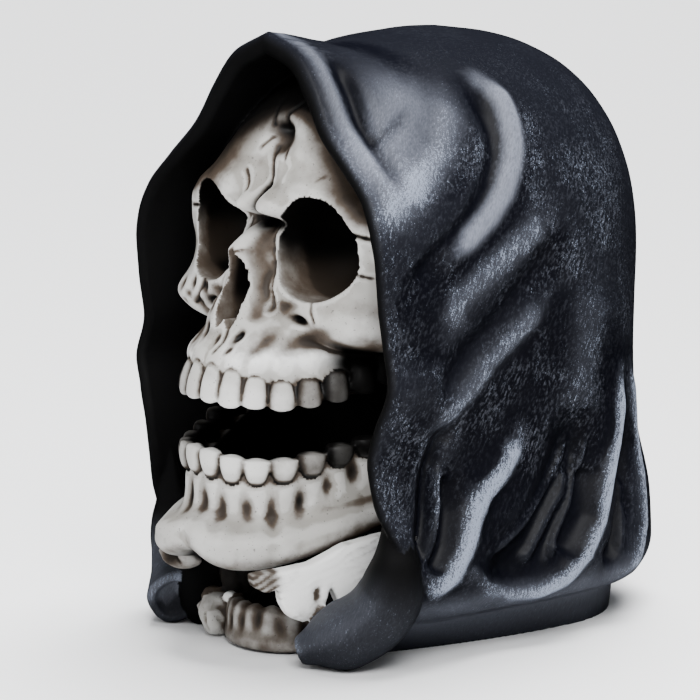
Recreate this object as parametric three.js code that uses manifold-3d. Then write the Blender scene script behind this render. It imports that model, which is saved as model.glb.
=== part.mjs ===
// Grim reaper figurine: a skull in a cowl, cast in resin as one solid and painted.
// Millimetres, +Z up. The face looks along -Y and the figure's left side is +X.
import * as THREE from 'three';
import { ParametricGeometry } from 'three/addons/geometries/ParametricGeometry.js';
import { mergeVertices } from 'three/addons/utils/BufferGeometryUtils.js';
import Module from 'manifold-3d';

// Driving sizes of the cowl
const HEIGHT = 140;                // floor to the top of the dome
const PEAK_HEIGHT = 139.4;         // tip of the opening
const RIM_DEPTH = -40;             // the opening's plane, in front of the dome's axis
const RIDGE_END = 14;              // where the ridge of the cowl reaches its highest point
const SADDLE = { y: -18, drop: 3.0, spread: 13 };   // dip of the ridge behind the peak
const SHELL_TOP = 5;               // thickness of the cloth over the opening
const LIP_RADIUS = 1.7;
const RECESS = { mouth: -38, back: -6, low: 2, high: 22, cornering: 0.55 };   // the hollow round the skull
const DOME_CORNERING = 0.94;       // under 1 squares the back of the cowl a little
const SIDE_FLARE = 1.7;            // how late the side turns in to the opening
const SLIMMEST_LIP = 0.8;          // inner over outer width of the opening, near its tip
const FLOOR_MIDDLE = 10;           // where the underside's triangles meet

// Stations are [height, size] pairs, read with a smooth curve through them
const RIM_HALF_WIDTH = [[0, 26], [8, 34], [14, 40.5], [21, 44], [29, 42.9], [38, 40.4], [46, 39.9], [55, 42],
  [63, 44.6], [73, 42.6], [90, 42.5], [97, 41.2], [104, 38], [111, 31.2], [119, 22.8], [128, 17], [135, 10.8],
  [PEAK_HEIGHT, 0]];
const RIM_LINE = [[0, -26], [8, -28], [15, -30], [22, -33], [29, -36.5], [38, -39.7], [50, -41.3],
  [60, -40.4], [70, -39], [82, -40.6], [96, -41.5], [110, -40.1], [125, -38.5], [PEAK_HEIGHT, -37.5]];
const LIP_WIDTH = 3.2;             // from the outer to the inner edge of the opening
const LIP_SETBACK = 0.4;           // the inner edge lies this much further back
const SIDE_HALF_WIDTH = [[0, 37.5], [7.5, 38.5], [9.5, 43.5], [16, 46], [30, 45], [45, 43.6], [60, 43.6],
  [75, 44.3], [88, 44.8], [100, 44.4], [112, 42], [122, 37.4], [130, 30.4], [135, 22.4], [138, 14.2],
  [HEIGHT, 0]];
const SIDE_DEPTH = [[0, 26], [20, 22], [60, 16], [100, 8], [125, 0], [HEIGHT, -6]];
const BACK_DEPTH = [[0, 57], [7.5, 59], [9.5, 66], [15, 70.5], [26, 71], [45, 67], [75, 66], [92, 66.5],
  [104, 65], [114, 61.8], [123, 56.5], [130, 49.5], [135.5, 39.5], [138.5, 28.5], [HEIGHT, RIDGE_END]];

// The folds of the cloth on a side: a rise (or a hollow, when negative) along a path of
// [depth, height] points
const FOLDS = [
  { name: 'ribbon', rise: 2.0, spread: 3.4, path: [[0.2, 129], [1.2, 121], [0.4, 115], [-5.5, 104.5],
    [-16, 94.5], [-24, 88]] },
  { name: 'ribbon valley', rise: -2.1, spread: 4, path: [[-6, 127], [-4.5, 117.5], [-8.5, 105.5], [-21, 93.5],
    [-33.5, 82.5]] },
  { name: 'panel border', rise: 1.2, spread: 3, path: [[-10.5, 124], [-18, 111], [-24.5, 106], [-39, 99.5]] },
  { name: 'panel', rise: 1.6, spread: 8, path: [[-23.5, 123], [-26, 114], [-33, 106.5]] },
  { name: 'long ridge', rise: 1.8, spread: 5, path: [[12, 84], [-4, 75], [-14, 67], [-22, 57], [-27, 47]] },
  { name: 'front pocket', rise: -4.5, spread: 4, path: [[-29, 45], [-28, 34], [-29, 22]] },
  { name: 'bright ridge', rise: 1.6, spread: 3.6, path: [[-5, 47], [-13, 36], [-18, 26], [-28, 17]] },
  { name: 'deep pocket', rise: -5.5, spread: 8.5, path: [[14, 44], [8, 32], [0, 21]] },
  { name: 'swag', rise: 1.8, spread: 3.4, path: [[31, 52], [28, 35], [23, 23], [12, 14.5], [-4, 12.5],
    [-16, 17]] },
  { name: 'rear pocket', rise: -3.6, spread: 4, path: [[37, 44], [35, 30], [31, 17]] },
  { name: 'rear ridge', rise: 0.8, spread: 4, path: [[43, 54], [46, 34], [44, 20], [36, 12]] },
];
const FOLD_FADE = { hem: [8, 13], crown: [126, 136], rim: 7 };
const PLAIN_SIDE = 0.7;            // share of the folds on the far side
const BACK_PLEATS = { rise: 1.5, pitch: 21, lean: 0.16, upright: 60, hem: [8, 16], crown: [70, 118] };

// Driving sizes of the skull, in its own upright frame before it leans in the cowl
const SKULL_LEAN = THREE.MathUtils.degToRad(3.6);
const SKULL_PIVOT = new THREE.Vector3(0, -40, 80);
const FACE = { // [height, half width] or [height, depth in front of the axis]
  halfWidth: [[58, 20], [66, 22], [69.5, 28], [71, 33], [73, 36.2], [77, 37.8], [82, 37], [88, 36.2],
    [94, 37.2], [99, 37.4], [103, 36], [107, 33.2], [114, 28.8], [119.5, 25.5], [127, 20.5], [131, 16.5],
    [134, 13], [137, 9]],
  depth: [[58, 33], [66, 34], [69.5, 36.5], [71, 39.5], [73, 42.3], [77, 43.6], [94, 43.4], [98, 43.2],
    [103, 42.6], [107, 41.2], [114, 38.6], [119.5, 36], [124.3, 32], [127, 28.6], [131, 20.5], [134, 15],
    [137, 11]],
  squareness: [[58, 2.6], [70, 3.2], [76, 3.2], [92, 2.9], [103, 2.9], [110, 2.7], [122, 2.3], [134, 2]],
};
const BRIDGE_HOLLOW = { depth: 3.6, spread: 9, from: [83, 88], to: [97.5, 100.5] };
const MUZZLE = {
  halfWidth: [[60, 23.5], [64, 25], [68, 25.5], [72.7, 23.5], [75.5, 21.5], [78, 18.5], [81, 13],
    [84, 11], [89, 10.2], [92, 10], [99, 10]],
  depth: [[60, 52], [64, 54.8], [67, 55.8], [68.5, 55.3], [70.3, 53.9], [72.7, 52], [75.5, 51],
    [78, 50.3], [84, 49.6], [91.2, 49.4], [92.5, 48.1], [94, 46.1], [96, 43.4], [97.4, 40.6], [99, 38]],
  squareness: [[60, 2.2], [76, 2.3], [80, 2.4], [85, 2.1], [89, 2], [92, 1.95], [95, 1.9]],
};
// Lumps (or hollows, when the rise is negative) on both sides of the face
const FACE_PATCHES = [
  { name: 'brow lump', rise: 2.2, x: 4.6, z: 102, spread: [3.6, 2.8] },
  { name: 'root of the nose', rise: -2.6, x: 1, z: 97.7, spread: [5, 1.8] },
  { name: 'outer rim of the socket', rise: 2.6, x: 32, z: 92, spread: [3.4, 9] },
  { name: 'cheekbone', rise: 2.8, x: 29, z: 76.8, spread: [6.2, 4.8] },
  { name: 'hollow under the cheekbone', rise: -1.7, x: 17.4, z: 72.6, spread: [4, 3.4] },
];
const BROW_RIDGE = { rise: 1.5, above: 0.8, droop: 0.0012, droopFrom: 12, spread: 3, from: [4, 10],
  to: [28, 33] };
const MUZZLE_BLEND = { width: 1.2, fade: [96, 99.5] };
const CRANIUM_HEIGHTS = [60, 63, 66, 68.2, 70, 72, 74.2, 76.5, 79.5, 83.5, 87.5, 91, 94.2, 96.6, 98.4, 101.8,
  104.5, 108.5, 114, 120, 126, 131, 137];
const FACE_FRONT = -62;            // the cutters of the sockets start in front of this
const ORBIT = { x: 17, z: 93, halfWidth: 10.4, halfHeight: 11.5, squareness: 2.25, wall: -34, floor: -20.5 };
const NOSE_HOLE = { x: 0, top: 90.2, bottom: 73.4, halfWidth: 3.8, narrowing: [1.02, 0.84], squareness: 0.55,
  wall: -45, floor: -38.5 };
const FOREHEAD_HOLE = { x: 2, z: 116.6, halfWidth: 2.8, halfHeight: 3.2, front: -48, wall: -37, floor: -34 };

// The rows of teeth follow one arch,
// given as the heading of its outward side along its length from the middle
const ARCH_FRONT = -56.4;
const ARCH_HEADING = [[0, 0], [3, 10], [6, 21], [9, 32], [12, 42], [15, 49], [18, 56], [24, 64],
  [30, 68.5], [40, 71.5], [80, 73]];
const TOOTH_PITCH = [5.2, 5.4, 5.7, 6.1, 6.3, 6.4, 6.5];
const LOWER_SETBACK = 0.6;         // the lower row and its jaw stand this far inside the arch
const UPPER_TEETH = {
  rootSign: 1, setback: 0, spacing: 1,
  edge: [[0, 57.6], [8, 57.2], [14, 57.3], [20, 57.4], [25, 57.8], [30, 58.6], [35, 59.6], [45, 62]],
  neck: [[0, 66.9], [6, 66.3], [11, 65.2], [16, 63.8], [22, 63.2], [28, 64.7], [35, 66.5], [45, 69]],
};
const LOWER_TEETH = {
  rootSign: -1, setback: LOWER_SETBACK, spacing: 1.035,
  edge: [[0, 48.2], [3, 47.3], [8, 46.5], [16, 46.2], [23, 47.2], [29, 48.5], [36, 50], [45, 52.2]],
  neck: [[0, 41.6], [4, 41], [10, 40.6], [17, 41], [23, 42.1], [30, 43.9], [36, 46], [45, 48.4]],
};
const CROWN = { // shares of the crown's width and height, then half its depth at the front and at the back
  width: 0.49, neckWidth: 0.72, shoulder: 0.72, rootSunk: 1.6, halfDepth: [1.9, 2.7], lean: [-2.2, 0],
  squareness: [0.75, 0.8],
};
const JAW = {
  length: 72,
  foot: [[0, 23.6], [2.5, 22.8], [6, 21.2], [10, 20.6], [14, 20.8], [21, 22.2], [29, 24.4], [38, 27.2],
    [47, 30.4], [60, 37], [72, 42]],
  crest: [[0, 42], [8, 41.3], [17, 41.6], [23, 42.7], [30, 44.5], [36, 46.6], [42, 48.6], [50, 53],
    [60, 58], [72, 62]],
  chin: [[0, 5.2], [8, 5.3], [16, 4.7], [30, 3.6], [45, 2.4], [72, 1]],
  thickness: 6.5,
  squareness: [0.7, 0.6],
};

// Bones at the neck and the rolled corners of the hem
const HEM_ROLL = { thinning: 0.2, blunting: 0.86, tapering: [0.72, 1] };
const NEAR_ROLL = { side: 1, radius: 8, taper: 0.43, path: [[38.2, -37, 43], [38.6, -35.5, 33],
  [38.6, -34.8, 25.5], [37.3, -34.8, 18.2], [34.2, -37, 11.8], [30, -41, 8], [25.5, -45.2, 5.6],
  [21.8, -48.6, 3.6]] };
const FAR_ROLL = { side: -1, radius: 6.6, taper: 1, path: [[38.2, -37, 43], [38.6, -35.5, 32],
  [39.2, -33.8, 24], [38.3, -33.5, 16.5], [35, -36, 10.3], [30.5, -40.5, 7.2], [25.5, -45.2, 6.4]] };
const NECK = { x: -2, y: -19, halfWidth: 33, halfDepth: 17, height: 21 };
const SMALL_JAW = { x: 2.2, y: -33, radius: 12.6, halfHeight: 5, halfThickness: 2.6, sweep: 72 };
const SMALL_BONES = [
  { name: 'knuckle under the chin', at: [-22.9, -45.2, 17.4], halfSize: [6.4, 4.2, 3.1], waves: 0.1 },
  { name: 'backing of the knuckle', at: [-23, -36.5, 9], halfSize: [6.5, 8, 11], waves: 0 },
  { name: 'lump on the floor', at: [-12.4, -43.2, 4.9], halfSize: [4, 3.6, 5], waves: 0.15 },
  { name: 'lump on top of it', at: [-14.6, -42.6, 8.4], halfSize: [2.4, 2.2, 2.6], waves: 0.1 },
  { name: 'slab behind it', at: [-10.8, -38.6, 13], halfSize: [3.6, 2.2, 6.2], waves: 0.1 },
];
const SPLINTER = { // its edge is [along, height] from a place under the jaw; its root runs back into the hood
  x: 23, y: -42, heading: 70, thickness: 4.5, bevel: 0.8,
  edge: [[-16.8, 20.6], [-9.3, 21.8], [-2.6, 22.6], [5.3, 26.1], [15, 27.8], [40, 26.5], [40, 18], [16, 20.6],
    [13.1, 18.8], [9.2, 14.8], [4, 12.4], [2, 17.4], [0.3, 12.2], [-1.5, 10.4], [-4.6, 9.5], [-8, 11],
    [-9.9, 14.2], [-10.4, 17.6], [-16.4, 18.2]],
};

const degrees = THREE.MathUtils.degToRad;
const mix = THREE.MathUtils.lerp;
const clamp = THREE.MathUtils.clamp;
const smoothStep = THREE.MathUtils.smoothstep;

// A smooth curve through [place, value] stations: cubic pieces whose slopes never overshoot
function along(stations, place) {
  const last = stations.length - 1;
  if (place <= stations[0][0]) return stations[0][1];
  if (place >= stations[last][0]) return stations[last][1];
  let i = 0;
  while (stations[i + 1][0] < place) i += 1;
  const slope = (k) => (stations[k + 1][1] - stations[k][1]) / (stations[k + 1][0] - stations[k][0]);
  const bend = (k) => {
    if (k === 0) return slope(0);
    if (k === last) return slope(last - 1);
    const [before, after] = [slope(k - 1), slope(k)];
    return before * after <= 0 ? 0 : 2 * before * after / (before + after);
  };
  const span = stations[i + 1][0] - stations[i][0];
  const t = (place - stations[i][0]) / span;
  const [start, end] = [stations[i][1], stations[i + 1][1]];
  return start * (1 + 2 * t) * (1 - t) ** 2 + end * t * t * (3 - 2 * t)
    + span * (bend(i) * t * (1 - t) ** 2 - bend(i + 1) * t * t * (1 - t));
}

const signedPower = (value, power) => Math.sign(value) * Math.abs(value) ** power;
const bump = (distance, spread) => Math.exp(-((distance / spread) ** 2));
const softMax = (a, b, blend) => {
  const h = clamp(0.5 + (a - b) / (2 * blend), 0, 1);
  return mix(b, a, h) + blend * h * (1 - h);
};

// How far a rounded rectangle reaches from its centre in a direction
const reach = (angle, halfWidth, depth, squareness) => (
  (Math.abs(Math.sin(angle)) / halfWidth) ** squareness + (Math.abs(Math.cos(angle)) / depth) ** squareness
) ** (-1 / squareness);

// The library that joins and cuts closed solids
const library = await Module();
library.setup();

function solid(geometry) {
  geometry.deleteAttribute('normal');
  geometry.deleteAttribute('uv');
  const merged = mergeVertices(geometry, 1e-3);
  const spots = merged.attributes.position.array;
  const corners = merged.index.array;
  const kept = [];
  let volume = 0;
  const [a, b, c] = [new THREE.Vector3(), new THREE.Vector3(), new THREE.Vector3()];
  for (let i = 0; i < corners.length; i += 3) {
    const [p, q, r] = [corners[i], corners[i + 1], corners[i + 2]];
    if (p === q || q === r || r === p) continue;
    kept.push(p, q, r);
    volume += a.fromArray(spots, 3 * p).dot(b.fromArray(spots, 3 * q).cross(c.fromArray(spots, 3 * r)));
  }
  if (volume < 0) kept.reverse();
  return new library.Manifold(new library.Mesh({
    numProp: 3, vertProperties: new Float32Array(spots), triVerts: new Uint32Array(kept),
  }));
}

// A closed surface: place(u, v) gives a point, u and v from 0 to 1. From the column turnedFrom on, the
// four-cornered cells are split along their other diagonal.
function surface(place, across, up, turnedFrom = across) {
  const spot = (u, v, target) => target.set(...place(u, v));
  const geometry = new ParametricGeometry(spot, across, up);
  const corners = geometry.index.array;
  for (let cell = 0; cell < across * up; cell += 1) {
    if (cell % across < turnedFrom) continue;
    const [first, third, fourth] = [corners[6 * cell], corners[6 * cell + 4], corners[6 * cell + 5]];
    corners[6 * cell + 2] = third;
    corners.set([first, third, fourth], 6 * cell + 3);
  }
  return solid(geometry);
}

// The ridge line of the cowl: level, with a shallow saddle behind the peak
const ridgeTop = (y) => mix(PEAK_HEIGHT, HEIGHT, smoothStep(y, RIM_DEPTH, RIDGE_END))
  - SADDLE.drop * bump(y - SADDLE.y, SADDLE.spread);

// How far the cloth of a side stands out at a depth and height
function foldRelief(y, z) {
  let rise = 0;
  for (const fold of FOLDS) {
    let nearest = Infinity;
    for (let i = 0; i + 1 < fold.path.length; i += 1) {
      const [[ay, az], [by, bz]] = [fold.path[i], fold.path[i + 1]];
      const t = clamp(((y - ay) * (by - ay) + (z - az) * (bz - az)) / ((by - ay) ** 2 + (bz - az) ** 2), 0,
        1);
      nearest = Math.min(nearest, Math.hypot(y - mix(ay, by, t), z - mix(az, bz, t)));
    }
    rise += fold.rise * bump(nearest, fold.spread);
  }
  return rise * smoothStep(z, ...FOLD_FADE.hem) * (1 - smoothStep(z, ...FOLD_FADE.crown));
}

// Soft upright pleats across the back
function pleatRelief(x, z) {
  const wave = Math.cos(2 * Math.PI * (x + BACK_PLEATS.lean * (z - BACK_PLEATS.upright)) / BACK_PLEATS.pitch);
  return BACK_PLEATS.rise * wave * smoothStep(z, ...BACK_PLEATS.hem) * (1 - smoothStep(z,
    ...BACK_PLEATS.crown));
}

// One level of the cowl, from the middle of the back (0) round the side to the lip and in to the hollow (1)
const BACK_PART = 0.3;
const SIDE_PART = 0.6;
const LIP_PART = 0.68;
function cowlLevel(part, level, hand) {
  const folded = hand > 0 ? 1 : PLAIN_SIDE;
  const rimHeight = PEAK_HEIGHT * level;
  const height = HEIGHT * level;
  const rim = { x: along(RIM_HALF_WIDTH, rimHeight), y: along(RIM_LINE, rimHeight) };
  const side = { x: along(SIDE_HALF_WIDTH, height), y: along(SIDE_DEPTH, height) };
  const back = along(BACK_DEPTH, height);
  const inside = { x: Math.max(rim.x - LIP_WIDTH, rim.x * SLIMMEST_LIP), y: rim.y + LIP_SETBACK };
  const recess = mix(RECESS.mouth, RECESS.back, smoothStep(height, RECESS.low, RECESS.high));
  if (part <= BACK_PART) {
    const turn = degrees(90) * part / BACK_PART;
    const y = mix(side.y, back, Math.cos(turn) ** DOME_CORNERING);
    const x = side.x * Math.sin(turn) ** DOME_CORNERING;
    const behind = pleatRelief(hand * x, height) * Math.cos(turn) ** 2;
    const beside = folded * foldRelief(y, height) * Math.sin(turn) ** 0.5;
    return [x + beside, y + behind, ridgeTop(y) * level];
  }
  if (part <= SIDE_PART) {
    const t = (part - BACK_PART) / (SIDE_PART - BACK_PART);
    const y = mix(side.y, rim.y, t);
    const beside = folded * foldRelief(y, height) * smoothStep(y, rim.y, rim.y + FOLD_FADE.rim);
    return [mix(side.x, rim.x, t ** SIDE_FLARE) + beside, y, ridgeTop(y) * level];
  }
  const drop = SHELL_TOP * level ** 3;
  if (part <= LIP_PART) {
    const t = (part - SIDE_PART) / (LIP_PART - SIDE_PART);
    const across = (1 - Math.cos(Math.PI * t)) / 2;
    const y = rim.y - LIP_RADIUS * Math.sin(Math.PI * t);
    return [mix(rim.x, inside.x, across), y, (ridgeTop(rim.y) - drop * across) * level];
  }
  const turn = degrees(90) * (part - LIP_PART) / (1 - LIP_PART);
  const y = mix(inside.y, recess, Math.sin(turn) ** RECESS.cornering);
  return [inside.x * Math.cos(turn) ** RECESS.cornering, y, (ridgeTop(y) - drop) * level];
}

const COWL_HEIGHTS = [0, 7.8, 9.6, 12, 15, 18.5, 22.5, 26.5, 30.5, 35, 39.5, 44.5, 50, 56.5, 63, 69.5, 76,
  82.5, 88.5, 94, 99, 104, 109, 114, 119, 124, 128.5, 132.5, 135.5, 138, 139.5, HEIGHT];
const COWL_COLUMNS = { back: 8, side: 13, lip: 2, hollow: 4 };
const BACK_CROWDING = 1.5;         // columns of the back crowd towards the folds of the side

function cowl() {
  const { back, side, lip, hollow } = COWL_COLUMNS;
  const parts = [0];
  const limits = [[back, BACK_PART], [side, SIDE_PART], [lip, LIP_PART], [hollow, 1]];
  for (const [count, limit] of limits) {
    const start = parts[parts.length - 1];
    const crowding = limit === BACK_PART ? BACK_CROWDING : 1;
    for (let i = 1; i <= count; i += 1) parts.push(mix(start, limit, 1 - (1 - i / count) ** crowding));
  }
  const half = parts.length - 1;
  const up = COWL_HEIGHTS.length;
  return surface((u, v) => {
    const column = Math.round(2 * half * u) - half;
    const row = Math.round(v * up);
    if (row === 0) return [0, FLOOR_MIDDLE, 0];
    const hand = column < 0 ? -1 : 1;
    const [x, y, z] = cowlLevel(parts[half - Math.abs(column)], COWL_HEIGHTS[row - 1] / HEIGHT, hand);
    return [hand * x, y, z];
  }, 2 * half, up, half);
}

// The skull leans a little towards the figure's left inside the cowl
function leaned(x, y, z) {
  const [across, height] = [x - SKULL_PIVOT.x, z - SKULL_PIVOT.z];
  return [
    SKULL_PIVOT.x + across * Math.cos(SKULL_LEAN) + height * Math.sin(SKULL_LEAN),
    y,
    SKULL_PIVOT.z - across * Math.sin(SKULL_LEAN) + height * Math.cos(SKULL_LEAN),
  ];
}

// Lumps and hollows of the face, as a rise of the surface at a place across (x) and up (z)
function faceRelief(x, z) {
  const side = Math.abs(x);
  const patch = ({ rise, x: middle, z: height, spread }) => (
    rise * bump(side - middle, spread[0]) * bump(z - height, spread[1]));
  const browLine = ORBIT.z + ORBIT.halfHeight + BROW_RIDGE.above
    - BROW_RIDGE.droop * Math.max(side - BROW_RIDGE.droopFrom, 0) ** 3;
  const browRidge = BROW_RIDGE.rise * bump(z - browLine, BROW_RIDGE.spread)
    * smoothStep(side, ...BROW_RIDGE.from) * (1 - smoothStep(side, ...BROW_RIDGE.to));
  return FACE_PATCHES.reduce((rise, lump) => rise + patch(lump), browRidge);
}

function skullRadius(turn, z) {
  const skin = reach(turn, along(FACE.halfWidth, z), along(FACE.depth, z), along(FACE.squareness, z));
  const { depth, spread, from, to } = BRIDGE_HOLLOW;
  const beside = smoothStep(z, ...from) * (1 - smoothStep(z, ...to));
  const face = skin - depth * bump(skin * Math.sin(turn), spread) * beside;
  let radius = face;
  if (z < MUZZLE_BLEND.fade[1] && Math.abs(turn) < degrees(90)) {
    const fade = smoothStep(z, ...MUZZLE_BLEND.fade);
    const muzzle = reach(turn, along(MUZZLE.halfWidth, z), along(MUZZLE.depth, z), along(MUZZLE.squareness,
      z));
    radius = mix(softMax(face, muzzle, MUZZLE_BLEND.width), face, fade);
  }
  const front = smoothStep(Math.cos(turn), 0, 0.3);
  return radius + front * faceRelief(radius * Math.sin(turn), z);
}

function cranium() {
  const across = 36;
  const up = CRANIUM_HEIGHTS.length + 1;
  return surface((u, v) => {
    const row = Math.round(v * up);
    if (row === 0) return leaned(0, -10, CRANIUM_HEIGHTS[0]);
    if (row === up) return leaned(0, 0, CRANIUM_HEIGHTS[up - 2]);
    const t = 2 * u - 1;
    const turn = Math.PI * (0.36 * t + 0.64 * t ** 3);
    const z = CRANIUM_HEIGHTS[row - 1];
    const radius = skullRadius(turn, z);
    return leaned(radius * Math.sin(turn), -radius * Math.cos(turn), z);
  }, across, up);
}

// A socket: a rounded outline in the face, carried back and closed by a bowl
function socket(outline, wall, floor, across, up, front = FACE_FRONT) {
  const straight = 0.3;
  return surface((u, v) => {
    const bowl = clamp((v - straight) / (1 - straight), 0, 1);
    const y = v < straight ? mix(front, wall, v / straight) : mix(wall, floor, Math.sin(degrees(90) * bowl));
    const size = v === 0 ? 0 : Math.cos(degrees(90) * bowl) ** 0.8;
    const [x, z, middleX, middleZ] = outline(2 * Math.PI * u);
    const flat = v === 0 ? front : y;
    return leaned(middleX + (x - middleX) * size, flat, middleZ + (z - middleZ) * size);
  }, across, up);
}

function orbit(side) {
  return socket((turn) => {
    const size = reach(turn, ORBIT.halfWidth, ORBIT.halfHeight, ORBIT.squareness);
    const x = size * Math.sin(turn);
    return [side * (ORBIT.x + x), ORBIT.z + size * Math.cos(turn), side * (ORBIT.x - 1), ORBIT.z];
  }, ORBIT.wall, ORBIT.floor, 16, 6);
}

function noseHole() {
  const middle = (NOSE_HOLE.top + NOSE_HOLE.bottom) / 2;
  const halfHeight = (NOSE_HOLE.top - NOSE_HOLE.bottom) / 2;
  return socket((turn) => {
    const up = Math.cos(turn);
    const narrowing = mix(...NOSE_HOLE.narrowing, smoothStep(up, -0.2, 1));
    return [NOSE_HOLE.x + NOSE_HOLE.halfWidth * narrowing * signedPower(Math.sin(turn), NOSE_HOLE.squareness),
      middle + halfHeight * up, NOSE_HOLE.x, middle - 1];
  }, NOSE_HOLE.wall, NOSE_HOLE.floor, 12, 5);
}

function foreheadHole() {
  return socket((turn) => [FOREHEAD_HOLE.x + FOREHEAD_HOLE.halfWidth * Math.sin(turn),
    FOREHEAD_HOLE.z + FOREHEAD_HOLE.halfHeight * Math.cos(turn), FOREHEAD_HOLE.x, FOREHEAD_HOLE.z],
  FOREHEAD_HOLE.wall, FOREHEAD_HOLE.floor, 8, 4, FOREHEAD_HOLE.front);
}

// The arch of the teeth: its points and headings, stepped off from the middle of the front
const ARCH_STEP = 0.25;
const archTrack = [{ x: 0, y: ARCH_FRONT, heading: 0 }];
for (let length = 0; length < JAW.length; length += ARCH_STEP) {
  const before = archTrack[archTrack.length - 1];
  const heading = degrees(along(ARCH_HEADING, length + ARCH_STEP / 2));
  archTrack.push({
    x: before.x + ARCH_STEP * Math.cos(heading), y: before.y + ARCH_STEP * Math.sin(heading), heading,
  });
}

// A point at a length along the arch and a distance outwards from it
function onArch(length, outwards) {
  const step = Math.abs(length) / ARCH_STEP;
  const i = Math.min(Math.floor(step), archTrack.length - 2);
  const [a, b] = [archTrack[i], archTrack[i + 1]];
  const heading = mix(a.heading, b.heading, step - i);
  const side = length < 0 ? -1 : 1;
  return [side * (mix(a.x, b.x, step - i) + outwards * Math.sin(heading)),
    mix(a.y, b.y, step - i) - outwards * Math.cos(heading)];
}

// One tooth: rounded across, pinched at the neck, leaning out towards its edge
function tooth(middle, width, row) {
  const length = Math.abs(middle);
  const edge = along(row.edge, length);
  const root = along(row.neck, length) + row.rootSign * CROWN.rootSunk;
  const halfWidth = width * CROWN.width;
  const halfDepth = mix(...CROWN.halfDepth, smoothStep(length, 10, 30));
  return surface((u, v) => {
    const turn = 2 * Math.PI * u;
    const rounding = Math.sqrt(Math.max(0, 1 - clamp((v - CROWN.shoulder) / (1 - CROWN.shoulder), 0,
      1) ** 2.4));
    const size = (v === 0 ? 0 : 1) * rounding;
    const across = halfWidth * mix(CROWN.neckWidth, 1, smoothStep(v, 0, 0.6)) * size
      * signedPower(Math.sin(turn), CROWN.squareness[0]);
    const out = mix(...CROWN.lean, v) + halfDepth * size * signedPower(Math.cos(turn), CROWN.squareness[1]);
    const [x, y] = onArch(middle + across, out - row.setback);
    return leaned(x, y, mix(root, edge, v));
  }, 8, 4);
}

function teeth(row) {
  const crowns = [];
  for (const side of [-1, 1]) {
    let start = 0;
    for (const pitch of TOOTH_PITCH) {
      const width = row.spacing * pitch;
      crowns.push(tooth(side * (start + width / 2), width, row));
      start += width;
    }
  }
  return crowns;
}

// The lower jaw: one closed section carried round the arch, its chin forward and its arms running back
function jaw() {
  const across = 32;
  const around = 10;
  return surface((u, v) => {
    if (v === 0 || v === 1) {
      const [x, y] = onArch(v === 0 ? -JAW.length : JAW.length, -JAW.thickness / 2);
      return leaned(x, y, (along(JAW.foot, JAW.length) + along(JAW.crest, JAW.length)) / 2);
    }
    const t = 2 * (v * across - 1) / (across - 2) - 1;
    const length = JAW.length * Math.sign(t) * (0.55 * Math.abs(t) + 0.45 * Math.abs(t) ** 2);
    const [foot, crest] = [along(JAW.foot, Math.abs(length)), along(JAW.crest, Math.abs(length))];
    const turn = 2 * Math.PI * u;
    const up = signedPower(Math.cos(turn), JAW.squareness[0]);
    const out = signedPower(Math.sin(turn), JAW.squareness[1]);
    const low = smoothStep(-up, -0.7, 0.5);
    const outwards = mix(-JAW.thickness, along(JAW.chin, Math.abs(length)) * low, (out + 1) / 2);
    const [x, y] = onArch(length, outwards - LOWER_SETBACK);
    return leaned(x, y, mix(foot, crest, (up + 1) / 2));
  }, around, across);
}

// A rolled corner of the hem: a round bar along its path, closed by a blunt end at the front
function hemRoll({ side, radius, taper, path: corners }) {
  const path = new THREE.CatmullRomCurve3(corners.map(([x, y, z]) => new THREE.Vector3(side * x, y, z)));
  const steps = 11;
  const frames = path.computeFrenetFrames(steps);
  return surface((u, v) => {
    const along01 = clamp((v * (steps + 2) - 1) / steps, 0, 1);
    const i = Math.round(along01 * steps);
    const at = path.getPointAt(along01);
    const ending = v === 0 || v === 1 ? 0 : 1;
    const swelling = mix(HEM_ROLL.thinning, 1, smoothStep(along01, 0, 0.5));
    const narrowing = mix(1, taper, smoothStep(along01, ...HEM_ROLL.tapering));
    const size = radius * ending * swelling * narrowing * (i === steps ? HEM_ROLL.blunting : 1);
    at.addScaledVector(frames.normals[i], size * Math.cos(2 * Math.PI * u));
    at.addScaledVector(frames.binormals[i], size * Math.sin(2 * Math.PI * u));
    return [at.x, at.y, Math.max(at.z, 0)];
  }, 8, steps + 2);
}

// A rounded lump, pushed in and out a little by waves
function lump(middle, halfSize, waves, across = 8, up = 5) {
  return surface((u, v) => {
    const turn = 2 * Math.PI * u;
    const rise = Math.PI * (v - 0.5);
    const swell = 1 + waves * Math.cos(3 * turn) * Math.cos(rise) ** 2;
    return [middle[0] + halfSize[0] * swell * Math.cos(turn) * Math.cos(rise),
      middle[1] + halfSize[1] * swell * Math.sin(turn) * Math.cos(rise),
      Math.max(middle[2] + halfSize[2] * Math.sin(rise), 0)];
  }, across, up);
}

// The small jaw that lies at the front of the neck, as a bent bar
function smallJaw() {
  const sweep = degrees(SMALL_JAW.sweep);
  return surface((u, v) => {
    const t = clamp((v * 12 - 1) / 10, 0, 1);
    const heading = mix(-sweep, sweep, t);
    const size = v === 0 || v === 1 ? 0 : 1;
    const radius = SMALL_JAW.radius + size * SMALL_JAW.halfThickness * Math.cos(2 * Math.PI * u);
    const z = SMALL_JAW.halfHeight * (1 + size * Math.sin(2 * Math.PI * u));
    return [SMALL_JAW.x + radius * Math.sin(heading), SMALL_JAW.y - radius * Math.cos(heading), Math.max(z,
      0)];
  }, 8, 12);
}

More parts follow.
